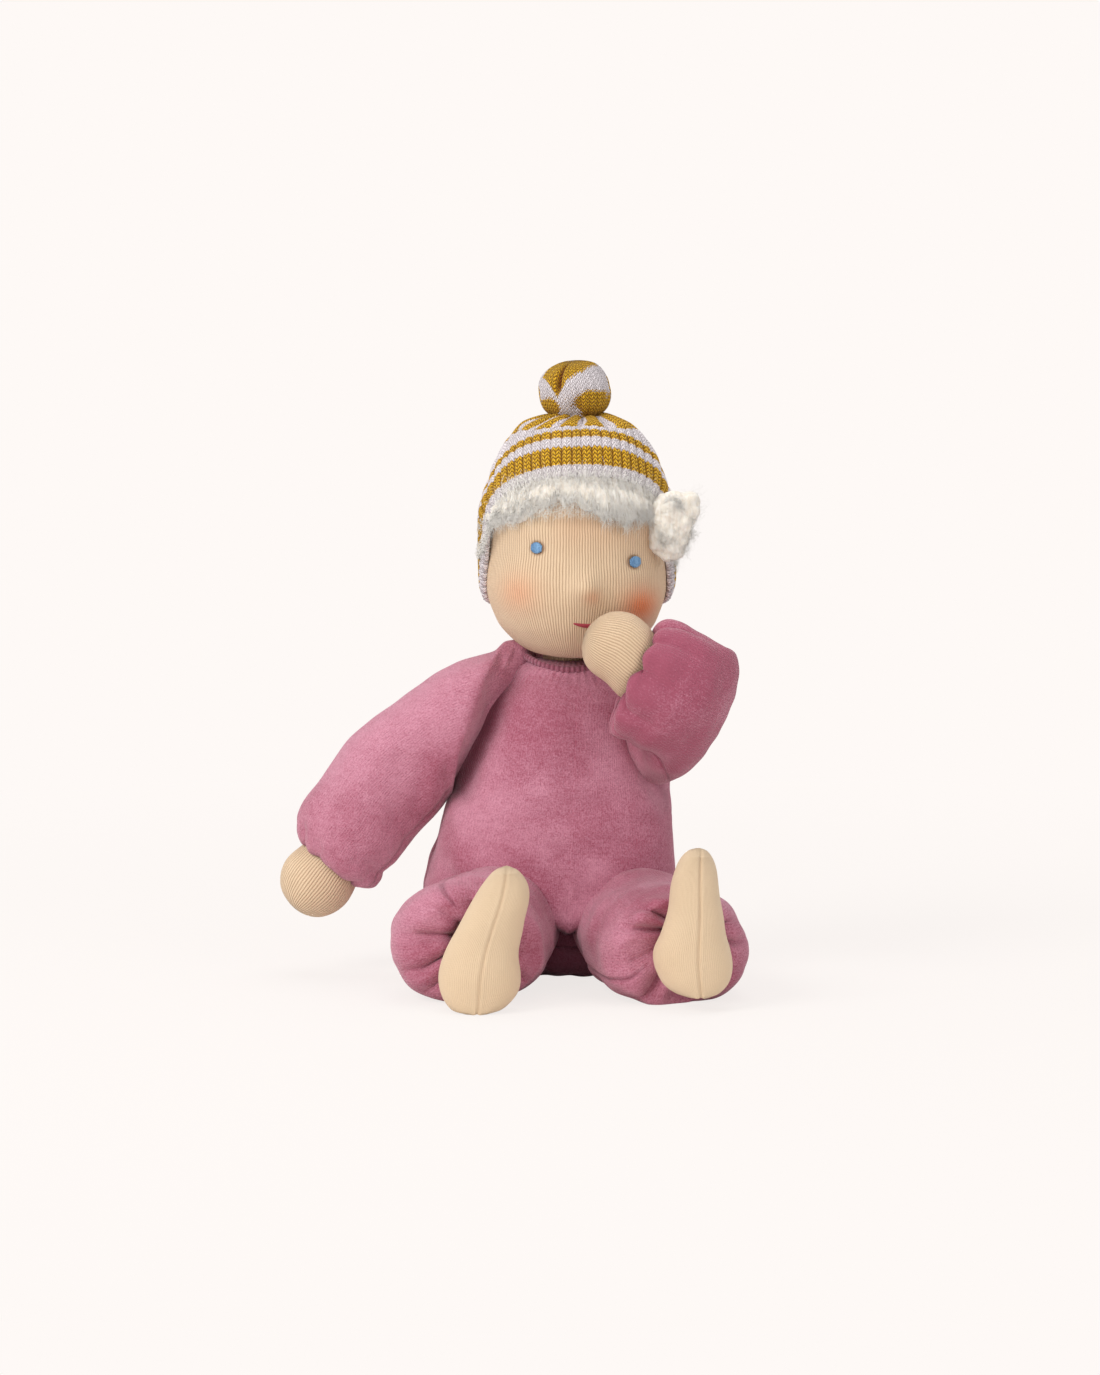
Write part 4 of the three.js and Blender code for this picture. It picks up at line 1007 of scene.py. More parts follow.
@dataclass
class Wig:
    """The mohair wig: a backing under the cap, a pile on it, a fringe and a tuft."""

    form: HeadForm
    backing_off: float = 0.9
    bow_from: float = 165.0
    shade_from: float = 146.0
    fringe_reach: float = 84.0
    lock_width: float = 3.6
    low_share: float = 0.4
    loose_share: float = 0.24
    strand_radius: float = 0.065
    fringe_fibres: int = 3600
    tuft_fibres: int = 2600
    crown_fibres: int = 2600
    tuft_centre: Point = (38.8, -31.5, 173.6)
    tuft_half: Point = (8.4, 6.2, 12.8)
    tuft_locks: Sequence[Point] = (
        (50.6, -31.0, 186.6), (51.2, -33.0, 181.0), (48.4, -36.0, 175.6), (47.4, -33.0, 170.6), (43.6, -35.0, 165.4),
        (40.6, -36.0, 160.8), (45.6, -30.0, 178.5), (42.0, -38.5, 182.6), (38.0, -38.5, 168.0),
    )
    hem: Sequence[Tuple[float, float]] = (
        (-84.0, 168.0), (-75.0, 172.5), (-60.0, 174.0), (-45.0, 174.8), (-34.0, 177.0), (-23.0, 180.5), (-13.0, 182.6),
        (-2.0, 182.0), (9.6, 178.8), (14.0, 176.2), (23.0, 175.6), (31.0, 173.2), (44.0, 175.6), (61.0, 174.0),
        (72.0, 166.0), (84.0, 158.0),
    )

    def backing(self) -> bpy.types.Object:
        """A thin shell over the crown, from the top down to the hem at the sides and nape, and back inside."""
        azimuth = np.linspace(-math.pi, math.pi, 160, endpoint=False)[None, :]
        degrees = np.degrees(azimuth)
        low = np.interp(degrees, [-180, -112, -92, 92, 112, 180], [150.0, 152.0, 176.0, 174.0, 152.0, 150.0])
        front = ease(40, 95, np.abs(degrees))
        edge = self.form.arc_of(188.0 * (1 - front) + low * front)
        share = np.linspace(0.02, 1, 44)[:, None]
        outer = self.form.point(edge * share, azimuth, self.backing_off + 0 * share)
        inner = self.form.point(edge * share[::-1], azimuth, 0.35 + 0 * share)
        grid = np.vstack([outer, inner[:-1]])
        return build("wig_backing", grid, {"fibre": 0.5 + 0.5 * lumps(grid, 3.0, 9)})

    def locks(self, roots: Array, tips: Array, rng: np.random.Generator, lift: float, wave: float,
              thick: float) -> Tuple[Array, Array]:
        """Fibres from roots to tips that bow off the head and wave.

        A fibre's point is root + (tip - root) t, plus lift * sin(pi t) outwards, plus a wave that grows with t.

        Args:
            roots: start points in millimetres.
            tips: end points.
            rng: the seeded source of chance.
            lift: how far the fibres bow outwards.
            wave: the wave's size.
            thick: radius at the root.

        Returns:
            Paths and radii for strands().
        """
        t = np.linspace(0, 1, 6)[None, :, None]
        out = unit(roots - np.array(self.inner(self.bow_from)))[:, None]
        path = roots[:, None] + (tips - roots)[:, None] * t
        path = path + out * np.sin(t * math.pi) * (lift * rng.uniform(0.4, 1.3, (len(roots), 1, 1)))
        phase = rng.uniform(0, TAU, (len(roots), 1, 3))
        turns = rng.uniform(0.8, 2.0, (len(roots), 1, 3))
        path = path + np.sin(phase + turns * TAU * t) * wave * t * rng.uniform(0.4, 1.3, (len(roots), 1, 1))
        radii = thick * (1 - 0.75 * t[..., 0] ** 1.5) * rng.uniform(0.7, 1.2, (len(roots), 1))
        return path, radii

    def inner(self, height: float) -> Point:
        """The place on the head's axis at a height."""
        return (self.form.aside, self.form.forward, height)

    def rim_height(self, degrees: Array) -> Array:
        """The height of the cap's rim over the brow."""
        return np.interp(degrees, [-84, -70, -60, -48, -33, 0, 35, 50, 60, 72, 84],
                         [166, 172, 182, 187, 190.3, 192.3, 190.3, 187, 182, 172, 160])

    def fleece(self) -> bpy.types.Object:
        """The fringe's soft mass: from under the rim down to the hem and back beneath, in upright streaks.

        A ring of the grid is one slice at an azimuth, down the outside and up the inside. At a share s of the
        way down the outside stands off by 0.4 + 2.7 sqrt(1 - s^5) plus streaks, and the hem's height wavers in
        locks of three widths.
        """
        degrees = np.linspace(-self.fringe_reach, self.fringe_reach, 620)[:, None]
        azimuth = np.radians(degrees)
        down = np.concatenate([1 - np.linspace(1, 0, 54) ** 1.3, np.linspace(0.97, 0.02, 14)])[None, :]
        inside = (np.arange(down.size) >= 54)[None, :]
        hem_azimuth, hem_height = np.array(self.hem).T
        walk = np.concatenate([azimuth * 34, 0 * azimuth, 0 * azimuth], axis=1)
        locks = 1.1 * lumps(walk, 9.0, 71) + 0.9 * lumps(walk, 4.2, 72) + 0.4 * lumps(walk, 2.0, 73)
        hem = np.interp(degrees, hem_azimuth, hem_height) + 0.6 + locks[:, None]
        top = self.rim_height(degrees) + 5.0
        height = top + (hem - top) * down
        flat = self.form.point(self.form.arc_of(height), azimuth, 0.0)
        swept = flat * [1, 1, 0.22] + 1.5 * lumps(flat, 11.0, 77)[..., None] * [1, 0, 0]
        streaks = 0.34 * lumps(swept, 1.9, 74, 14) + 0.45 * lumps(swept, 4.6, 75)
        streaks = streaks + 0.16 * lumps(swept * [1, 1, 2], 1.1, 78, 14)
        ends = ease(0, 9, self.fringe_reach - np.abs(degrees))
        puff = 2.7 * ease(0, 0.35, down) * np.sqrt(1 - down**5)
        off = 0.4 + np.maximum(puff + streaks * (1 - down**8) * ease(0, 0.2, down), 0.05) * ends
        off = np.where(inside, 0.15, off)
        grid = self.form.point(self.form.arc_of(height), azimuth, off)
        return build("wig_fringe", grid, {"fibre": 0.5 + 0.5 * lumps(flat * [1, 1, 0.15], 1.6, 76, 12)})

    def tuft_mass(self) -> bpy.types.Object:
        """The tuft's soft mass: a rounded form drawn out into its locks, beside the cap's rim."""
        polar = np.linspace(0.02, math.pi - 0.02, 120)[:, None]
        azimuth = np.linspace(0, TAU, 170, endpoint=False)[None, :]
        level = np.sin(polar)
        way = np.stack(np.broadcast_arrays(level * np.cos(azimuth), level * np.sin(azimuth), np.cos(polar)), -1)
        centre, half = np.array(self.tuft_centre), np.array(self.tuft_half)
        radius = 1 / np.sqrt(((way / half) ** 2).sum(-1))
        reach = np.array(self.tuft_locks) - centre
        length = np.linalg.norm(reach, axis=1)
        near = np.arccos(np.clip(way @ unit(reach).T, -1, 1))
        drawn = (np.maximum(length - radius[..., None], 0) * 0.8 * bump(near, 0, 0.42)).max(-1)
        surface = centre + way * radius[..., None]
        streaks = 0.20 * lumps(surface, 1.7, 81, 16) + 0.50 * lumps(surface, 4.2, 82, 12)
        streaks = streaks + 0.6 * lumps(surface, 8.0, 84)
        grid = centre + way * (radius + drawn + streaks)[..., None]
        return build("wig_tuft", grid, {"fibre": 0.5 + 0.5 * lumps(surface * [1, 1, 0.3], 1.6, 83, 12)})

    def fringe(self) -> bpy.types.Object:
        """Loose fibres on the fleece: most fall over the brow and past the hem, some stand over the cap's rim."""
        rng = np.random.default_rng(11)
        count = self.fringe_fibres
        azimuth = rng.uniform(-82, 82, count)
        rim = self.rim_height(azimuth)
        height = rim + rng.uniform(-14.0, -4.0, count) * (0.4 + 0.6 * np.cos(np.radians(azimuth)))
        lock = np.round(azimuth / self.lock_width + rng.normal(0, 0.25, count)) * self.lock_width
        pull = rng.uniform(0.30, 0.85, count)
        tip_azimuth = azimuth + (lock - azimuth) * pull + rng.normal(0, 2.0, count)
        hem_azimuth, hem_height = np.array(self.hem).T
        hem = np.interp(tip_azimuth, hem_azimuth, hem_height) + 1.1 * np.cos(np.radians(lock * 31))
        low = rng.uniform(0, 1, count) < self.low_share
        height = np.where(low, hem + rng.uniform(1.5, 5.0, count), height)
        stray = np.where(low, rng.normal(-0.7, 1.0, count), rng.normal(0.8, 1.9, count))
        tip_height = np.minimum(hem + stray, height - 1.5)
        off = rng.uniform(0.8, 3.4, count)
        loose = (rng.uniform(0, 1, count) < self.loose_share) & (np.abs(azimuth) < 58)
        tip_height = np.where(loose, rim + rng.normal(1.0, 1.5, count), tip_height)
        tip_azimuth = np.where(loose, azimuth + rng.normal(0, 5.0, count), tip_azimuth)
        height = np.where(loose, rim - rng.uniform(1.0, 5.0, count), height)
        off = np.where(loose, rng.uniform(4.4, 6.0, count), off)
        roots = self.form.point(self.form.arc_of(height), np.radians(azimuth), 2.4 + rng.uniform(0, 0.8, count))
        tips = self.form.point(self.form.arc_of(tip_height), np.radians(tip_azimuth), off)
        path, radii = self.locks(roots, tips, rng, lift=1.2, wave=1.1, thick=self.strand_radius)
        return strands("wig_fringe_fibres", path, radii, middle=self.inner(self.shade_from))

    def tuft(self) -> bpy.types.Object:
        """Loose fibres that leave the tuft's mass towards its locks."""
        rng = np.random.default_rng(23)
        count = self.tuft_fibres
        centre, half = np.array(self.tuft_centre), np.array(self.tuft_half)
        roots = centre + unit(rng.normal(size=(count, 3))) * half * 0.8
        locks = np.array(self.tuft_locks)
        away = ((roots[:, None] - locks[None]) ** 2).sum(-1) / 60 + rng.gumbel(0, 0.8, (count, len(locks)))
        aim = locks[np.argmin(away, axis=1)]
        tips = roots + (aim - roots) * rng.uniform(0.5, 1.05, (count, 1)) + rng.normal(0, 1.7, (count, 3))
        path, radii = self.locks(roots, tips, rng, lift=0.8, wave=1.7, thick=self.strand_radius)
        return strands("wig_tuft_fibres", path, radii, middle=self.inner(self.shade_from))

    def crown(self) -> bpy.types.Object:
        """Short pile pressed flat on the backing, which shows when the cap is off."""
        rng = np.random.default_rng(31)
        count = self.crown_fibres
        height = 209 - 56 * rng.uniform(0, 1, count) ** 1.05
        azimuth = rng.uniform(-math.pi, math.pi, count)
        keep = (np.abs(np.degrees(azimuth)) > self.fringe_reach) | (height > 190)
        height, azimuth = height[keep], azimuth[keep]
        arc = self.form.arc_of(height)
        roots = self.form.point(arc, azimuth, 0.8)
        tips = self.form.point(arc + rng.uniform(3.0, 6.5, len(arc)), azimuth + rng.normal(0, 0.06, len(arc)), 1.05)
        path, radii = self.locks(roots, tips, rng, lift=0.25, wave=0.25, thick=0.16)
        return strands("wig_crown", path, radii, middle=self.inner(self.shade_from))

    def make(self, wardrobe: Wardrobe) -> None:
        """Builds and dresses the wig."""
        dress(self.backing(), wardrobe.mohair, ["hair"], "head")
        for piece in (self.fleece(), self.tuft_mass()):
            dress(piece, wardrobe.mohair, [], "head")
        for piece in (self.fringe(), self.tuft(), self.crown()):
            dress(piece, wardrobe.strand, [], "head")


@dataclass
class Cap:
    """The rib-knitted cap: stripes parallel to the rim, ribs square to it, and a gathered crown."""

    form: HeadForm
    inside: float = 2.4
    outside: float = 4.1
    snug: float = 1.3
    snug_below: Tuple[float, float] = (160.0, 184.0)
    crown_folds: float = 5.5
    wall_rows: int = 116
    wall_sides: int = 600
    rim_points: int = 1500
    rib: float = 3.9
    rib_height: float = 0.95
    lift: Sequence[Tuple[float, float]] = ((0, 2.6), (9, 3.4), (18, 3.4), (27, 1.7), (38, 0.3), (60, 0))
    rim: Sequence[Tuple[float, float]] = (
        (0, 192.3), (18, 192.0), (37, 190.2), (52, 187.2), (61, 183.4), (66, 177.2), (69, 168.4), (74, 158.5),
        (82, 150.0), (94, 144.5), (120, 142.0), (150, 141.6), (180, 141.6), (210, 141.6), (240, 142.0), (266, 144.5),
        (278, 150.5), (286, 159.0), (291, 168.6), (295, 176.8), (301, 182.2), (310, 185.9), (324, 189.2), (342, 191.6),
    )
    stripes: Sequence[Tuple[float, float]] = (
        (3.4, 11.0), (15.2, 18.8), (29.0, 36.0), (42.5, 47.0), (53.5, 60.5), (67.0, 71.5), (77.5, 84.5))
    bobble_centre: Point = (3.4, -10.0, 223.6)
    bobble_half: Tuple[float, float] = (13.9, 11.4)
    bobble_ribs: int = 24

    def rim_line(self, count: int) -> Tuple[Array, Array]:
        """The rim's azimuth in radians and arc from the crown, evenly along its length."""
        table = np.array([*self.rim, (360, self.rim[0][1])], float)
        fine = through(np.vstack([table[-2] - [360, 0], table, table[1] + [360, 0]]), 4000)
        azimuth, arc = np.radians(fine[:, 0]), self.form.arc_of(fine[:, 1])
        points = self.form.point(arc, azimuth, self.outside)
        inside = (fine[:, 0] >= 0) & (fine[:, 0] <= 360)
        azimuth, arc, points = azimuth[inside], arc[inside], points[inside]
        walked = walk(points)
        at = np.linspace(0, walked[-1], count)
        return np.interp(at, walked, azimuth), np.interp(at, walked, arc)

    def nearest(self, points: Array, line: Array) -> Tuple[Array, Array]:
        """Each point's distance to the rim line, and how far along the rim its nearest place lies."""
        flat = points.reshape(-1, 3)
        best = np.full(len(flat), np.inf)
        along = np.zeros(len(flat))
        walked = walk(line)
        batch = 8000
        for start in range(0, len(flat), batch):
            span = slice(start, start + batch)
            part = flat[span]
            away = (part**2).sum(1)[:, None] + (line**2).sum(1)[None] - 2 * part @ line.T
            pick = np.clip(away.argmin(1), 1, len(line) - 2)
            here, before, after = line[pick], line[pick - 1], line[pick + 1]
            way = unit(after - before)
            slide = ((part - here) * way).sum(1)
            best[span] = np.linalg.norm(part - here - slide[:, None] * way, axis=1)
            along[span] = walked[pick] + slide
        return best.reshape(points.shape[:-1]), along.reshape(points.shape[:-1])

    def wall(self) -> bpy.types.Object:
        """The cap's wall.

        Rings run from the crown down the outside to the rim, round its edge and up inside. On the outside
        each point has a rib phase, which is its place along the rim over the rib's width, and the wall is
        raised by the rib's height times |cos(pi phase)| to a power. Near the bobble the ribs give way to
        radial folds of height |sin(5.5 azimuth)|, mustard on top and lilac between.
        """
        azimuth = np.linspace(0, TAU, self.wall_sides, endpoint=False)
        rim_azimuth, rim_arc = self.rim_line(self.rim_points)
        edge = np.interp(azimuth, rim_azimuth, rim_arc)[None, :]
        azimuth = azimuth[None, :]
        share = np.linspace(0.012, 1, self.wall_rows)[:, None] ** 0.9
        arc = edge * share
        flat = self.form.point(arc, azimuth, 0.0)
        snug = 1 - ease(*self.snug_below, flat[..., 2])
        outside = self.outside + np.interp(arc, *np.array(self.lift).T) - self.snug * snug
        outer = self.form.point(arc, azimuth, outside)
        line = self.form.point(rim_arc, rim_azimuth, self.outside)
        away, along = self.nearest(outer, line)
        total = walk(line)[-1]
        phase = along / total * round(total / self.rib)
        crown = (1 - ease(17, 22, arc)) * ease(19.6, 21.6, away)
        swell = np.abs(np.cos(math.pi * phase)) ** 0.55
        ribs = self.rib_height * (swell - 0.6) * (1 - crown)
        wander = self.crown_folds * azimuth + 0.9 * np.sin(2 * azimuth + 1.0) + 0.12 * arc
        fold = np.abs(np.sin(wander))
        folds = (2.3 * fold ** 0.7 - 1.2) * crown * ease(2, 9, arc)
        lip_low = 0.9 * bump(away, 0, 2.6)
        off = outside + ribs + folds - lip_low + 0.5 * lumps(outer, 22.0, 8) * ease(2, 8, away)
        outer = self.form.point(arc, azimuth, off)
        outer[..., 2] -= 1.6 * bump(arc, 0, 7.0)
        turn = np.linspace(0.15, 1, 6)[:, None] * math.pi
        inside = self.inside - 2.35 * snug[-1:]
        half = (outside[-1:] - 0.9 - inside) / 2
        middle = (outside[-1:] - 0.9 + inside) / 2
        ripple = 0.45 * np.cos(TAU * phase[-1:])
        lip = self.form.point(edge + half * np.sin(turn) + ripple * np.sin(turn), azimuth, middle + half * np.cos(turn))
        back_arc = edge * np.linspace(0.985, 0.02, 20)[:, None]
        inner = self.form.point(back_arc, azimuth, inside + np.interp(back_arc, *np.array(self.lift).T))
        grid = np.vstack([outer, lip, inner])
        rows = len(lip) + len(inner)
        low = np.repeat(phase[-1:], rows, axis=0)
        lining = edge * np.linspace(0.0, 0.98, len(inner))[:, None]
        reach = np.vstack([away, np.zeros((len(lip), azimuth.size)), lining])
        band = np.full(reach.shape, -1.0)
        for start, stop in self.stripes:
            band = np.maximum(band, np.minimum(reach - start, stop - reach))
        patch = (fold - 0.50 + 0.22 * lumps(outer, 9.0, 18)) * 5
        band[:len(outer)] = np.where(crown > 0.5, patch, band[:len(outer)])
        # Painted shade between the ribs, between the crown's folds and lightly over the lining.
        valley = np.vstack([
            ease(0.25, 0.9, (1 - swell) * 1.2) * 0.8 * (1 - crown) + crown * ease(0.45, 0.98, 1 - fold) * 0.8,
            np.full((rows, azimuth.size), 0.12)])
        return build("cap_knit", grid, {
            "across": np.vstack([phase, low]) * 2, "along": np.vstack([away, low * 0 + 0.5]) * MM,
            "band": band * MM, "valley": np.clip(valley, 0, 1)})

    def bobble(self) -> bpy.types.Object:
        """The stuffed ball of knit on the crown, drawn in at its neck, with the yarn's colours in patches."""
        polar = np.linspace(0.02, 2.80, 130)[:, None]
        azimuth = np.linspace(0, TAU, 220, endpoint=False)[None, :] + math.pi
        half, tall = self.bobble_half
        phase = azimuth / TAU * self.bobble_ribs + 0.35 * np.sin(polar * 2)
        swell = np.abs(np.cos(math.pi * phase)) ** 0.6
        centre = np.array(self.bobble_centre)
        level = np.sin(polar)
        plain = np.stack(np.broadcast_arrays(level * np.sin(azimuth), -level * np.cos(azimuth), np.cos(polar)), -1)
        groove = bump(np.sin((azimuth - math.pi * 1.84) / 2), 0, 0.05)
        groove = groove * ease(0.0, 0.5, polar) * (1 - ease(1.2, 1.9, polar))
        dent = bump(plain[..., 0], 0.05, 0.16) * bump(plain[..., 2], -0.45, 0.35) * (plain[..., 1] < 0)
        grow = 1 + 0.035 * (swell - 0.6) * level + 0.05 * lumps(plain * 20, 20.0, 61) - 0.13 * groove - 0.10 * dent
        radius = half * level ** 0.80 * grow
        radius = np.where(polar > 2.1, np.maximum(radius, 9.6), radius)
        height = tall * np.cos(polar) * (1 + 0.05 * lumps(plain * 20, 24.0, 62)) - 1.4 * groove * level
        grid = np.stack([radius * np.sin(azimuth), -radius * np.cos(azimuth), height], -1) + centre
        wobble = 0.07 * lumps(grid, 7.0, 63)
        across, up = (grid[..., 0] - centre[0]) / half + wobble, (grid[..., 2] - centre[2]) / tall + wobble
        front = ease(-0.1, 0.25, -(grid[..., 1] - centre[1]) / half)
        falling = np.interp(across, [-0.95, -0.8, -0.62, -0.45], [0.78, 0.45, 0.0, -0.16])
        rising = np.interp(across, [-0.45, -0.25, 0.1, 0.52, 1.0], [-0.16, 0.38, 0.68, 0.86, 0.98])
        top_left = up - np.where(across < -0.45, falling, rising)
        low_right = np.hypot((across - 0.50) / 0.56, (up + 0.42) / 0.50)
        low_left = np.hypot((across + 0.74) / 0.30, (up + 0.60) / 0.40)
        seen = np.maximum(np.maximum(top_left, 0.5 * (1 - low_right)), 0.4 * (1 - low_left))
        behind = np.sin(polar * 5.2 + 0.8 * np.sin(azimuth)) * 0.5
        patch = front * seen + (1 - front) * behind
        # Painted shade between the ribs, in the groove and the dent, and low on the ball where it meets the crown.
        valley = ease(0.2, 0.9, (1 - swell) * 1.1) * 0.40 + groove * 0.9 + dent * 0.45 + ease(2.0, 2.5, polar) * 0.5
        return build("cap_bobble", grid, {
            "across": phase * 2 + 0 * patch, "along": (polar * (half + tall) / 2 + 0 * patch) * MM,
            "band": patch * 6 * MM, "valley": np.clip(valley, 0, 1) + 0 * patch})

    def make(self, wardrobe: Wardrobe) -> None:
        """Builds and dresses the cap."""
        wall = dress(self.wall(), wardrobe.knit, ["hat"], "hat")
        ball = dress(self.bobble(), wardrobe.knit, ["hat_bobble", "bobble_thread"], "hat")


# ---------------------------------------------------------------- suit


def pleats(grid: Array, share: Array, count: float, depth: float, seed: int) -> Array:
    """Gathers that run along a limb near a drawn-in end.

    Each point moves along its normal by depth * share * w, where w is a rounded wave of the angle round the
    ring, |sin(count * angle / 2 + unevenness)|^0.8 - 0.6.

    Args:
        grid: points of shape (rows, sides, 3).
        share: how strongly each row is gathered, of shape (rows, 1).
        count: gathers round the ring.
        depth: their depth in millimetres.
        seed: varies their spacing.

    Returns:
        The moved points.
    """
    angle = np.arange(grid.shape[1])[None, :] * TAU / grid.shape[1]
    rng = np.random.default_rng(seed)
    wander = sum(rng.uniform(0.3, 0.8) * np.sin(k * angle + rng.uniform(0, TAU)) for k in (1, 2, 3))
    wave = np.abs(np.sin(count * angle / 2 + wander)) ** 0.8 - 0.6
    size = 1 + 0.5 * np.sin(3 * angle + seed)
    return grid + normals_of(grid) * (depth * share * wave * size)[..., None]


@dataclass
class Torso:
    """The suit's body, from the flat of the seat to the gathered neckline."""

    stations: Sequence[Sequence[float]] = (
        # height, half width, half depth, aside, forward
        (0.15, 30.0, 20.0, -3.0, -2.0),
        (0.9, 38.0, 26.0, -3.6, -4.0),
        (7.0, 45.0, 33.0, -4.6, -8.6),
        (18.0, 47.6, 34.6, -5.3, -10.2),
        (30.0, 48.4, 35.0, -5.8, -10.8),
        (43.0, 47.2, 34.6, -5.0, -10.8),
        (57.0, 44.8, 33.4, -3.8, -10.4),
        (71.0, 42.4, 31.6, -2.6, -10.0),
        (85.0, 40.0, 29.4, -1.6, -9.6),
        (98.0, 36.6, 26.6, -0.6, -9.2),
        (109.0, 31.4, 23.0, 0.4, -9.0),
        (115.4, 25.0, 19.8, 1.0, -9.0),
        (119.6, 19.4, 17.4, 1.5, -9.4),
        (121.4, 14.0, 13.6, 1.5, -9.4),
    )
    rows: int = 201
    sides: int = 280
    neck: Point = (1.5, -9.8, 119.3)
    neck_gathers: int = 28
    neck_crimps: int = 30
    neckline: Tuple[float, float] = (17.2, 17.6)
    seam_right: Tuple[Tuple[float, float], Tuple[float, float]] = ((-19.5, 122.0), (-41.0, 73.0))
    seam_left: Tuple[Tuple[float, float], Tuple[float, float]] = ((22.0, 98.0), (40.0, 66.0))

    def beside(self, points: Array, line: Tuple[Tuple[float, float], Tuple[float, float]], width: float) -> Array:
        """How near the front's points are to a line seen from the front, 1 on it and 0 far away."""
        (x0, z0), (x1, z1) = line
        run = np.array([x1 - x0, z1 - z0])
        share = ((points[..., 0] - x0) * run[0] + (points[..., 2] - z0) * run[1]) / (run @ run)
        near = np.clip(share, 0, 1)
        away = np.hypot(points[..., 0] - x0 - near * run[0], points[..., 2] - z0 - near * run[1])
        return bump(away, 0, width)

    def body(self) -> bpy.types.Object:
        """The body: level rings, boxier at the belly, swollen by its filling, with side seams and a crotch.

        Below the fold z = 19 + 0.55 |x - 1| the front falls back by some millimetres to the seat, and the cloth
        over the fold hangs a little over it.
        """
        read = through(self.stations, self.rows)
        angle = np.linspace(0, TAU, self.sides, endpoint=False)[None, :]
        height, half, deep, aside, forward = (read[:, k:k + 1] for k in range(5))
        boxy = 0.92 - 0.06 * bump(height, 35, 30)
        cos, sin = np.cos(angle), np.sin(angle)
        x = aside + half * signed_power(cos, boxy)
        y = forward + deep * signed_power(sin, boxy)
        grid = np.stack([x, y, height + 0 * x], -1)
        share = np.linspace(0, 1, self.rows)
        grid = Filling(most=1.8).swell(grid, np.maximum(1 - ease(0.0, 0.10, share), ease(0.90, 0.97, share)))
        x, height = grid[..., 0], grid[..., 2]
        seam = bump(sin, 0, 0.035)
        front = ease(0.1, 0.8, -sin)
        line = 19 + 0.55 * np.abs(x - 1)
        below = (1 - ease(-4.0, 1.5, height - line)) * front * bump(x, 1.0, 34.0)
        over = front * bump(height - line, 4.0, 4.0) * bump(x, 1.0, 30.0)
        off = -0.9 * seam + 0.8 * lumps(grid, 34.0, 2) + 0.4 * lumps(grid, 13.0, 4) + 1.8 * over - 9.5 * below
        facing = ease(-0.10, 0.22, -sin)
        wedge = np.maximum(self.beside(grid, self.seam_right, 5.5), 0.7 * self.beside(grid, self.seam_left, 3.5))
        off = (off - 3.2 * wedge * facing) * ease(0.2, 6, height) * (1 - ease(113, 120, height))
        grid = grid + normals_of(grid) * off[..., None]
        grid[..., 2] = np.maximum(grid[..., 2], 0.12)
        from_neck = np.hypot(grid[..., 0] - self.neck[0], grid[..., 1] - self.neck[1])
        draw = 1 - ease(6, 20, from_neck - self.neckline[0] + 4)
        wave = np.abs(np.sin(self.neck_gathers * angle + 0.6 * np.sin(3 * angle)))
        gathers = 0.45 * draw * wave * ease(108, 118, height)
        grid = grid - normals_of(grid) * gathers[..., None]
        # Painted shade below the belly's overhang and in its fold; the side seams are a little darker.
        fold = front * bump(height - line, -1.0, 2.2) * bump(x, 1.0, 26.0)
        # Painted shade of the crease beside each sleeve.
        sleeve_crease_shade = self.beside(grid, self.seam_right, 4.2) + 0.5 * self.beside(grid, self.seam_left, 2.0)
        hollow = 0.3 * seam * ease(4, 20, height) + 0.75 * below + 0.55 * fold + sleeve_crease_shade * facing
        # A painted highlight on the belly, and darker bands on the front at the chest and low on the belly.
        belly_highlight = 0.14 * front * bump(x, 8.0, 22.0) * bump(height, 62.0, 24.0)
        nap = belly_highlight - 0.06 * front * bump(height, 103.0, 9.0) - 0.10 * front * bump(height, 30.0, 8.0) + 0.05
        return build("suit_body", grid, {"hollow": np.clip(hollow, 0, 1) * 0.92, "nap": nap + 0 * hollow})

    def neck_ring(self) -> bpy.types.Object:
        """The gathered neckline: a fine soft ring, crimped all round by its drawn thread."""
        angle = np.linspace(0, TAU, 540, endpoint=False)
        small = np.linspace(0, TAU, 20, endpoint=False)
        crimp = np.abs(np.sin(self.neck_crimps * angle + 0.8 * np.sin(2 * angle)))
        around, tube = np.meshgrid(angle, small, indexing="ij")
        size = (1.0 + 0.30 * crimp)[:, None] * np.ones_like(tube)
        wide = self.neckline[0] + size * np.cos(tube)
        deep = self.neckline[1] + size * np.cos(tube)
        tilt = 4.2 * np.cos(around) ** 2 - 0.8
        grid = np.stack([
            self.neck[0] + wide * np.cos(around), self.neck[1] + deep * np.sin(around),
            self.neck[2] + size * 1.1 * np.sin(tube) + tilt], -1)
        # Painted shade over the gathered ring, deepest between its crimps.
        shade = 0.45 + 0.45 * (1 - crimp)[:, None] * np.ones_like(tube)
        return ring_mesh("suit_neckline", grid, {"hollow": shade})

    def make(self, wardrobe: Wardrobe) -> None:
        """Builds and dresses the body and its neckline."""
        nodes = ["torso_front", "torso_back", "torso_stuffing"]
        body = dress(self.body(), wardrobe.velour, nodes, "torso")
        dress(self.neck_ring(), wardrobe.velour, ["collar"], "torso")
        neck = rings([(1.5, -9.0, height, radius, radius, 0, 0, 1, 1, 0, 0)
                      for height, radius in ((112.0, 9.5), (120.0, 10.3), (126.0, 9.9), (131.6, 9.4))],
                     rows=24, sides=64)
        piece = dress(build("neck_tricot", neck, {"blush": np.zeros(neck.shape[:2])}), wardrobe.tricot,
                      ["neck_stuffing", "neck_thread"], "neck")


def bend_filled(piece: bpy.types.Object, bend: Tuple[Point, Point]) -> None:
    """Bakes a filled piece's transform into its mesh; the bend's two places, in millimetres, are turned into metres and
    not used further.
    """
    start, end = (tuple(value * MM for value in point) for point in bend)
    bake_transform(piece)


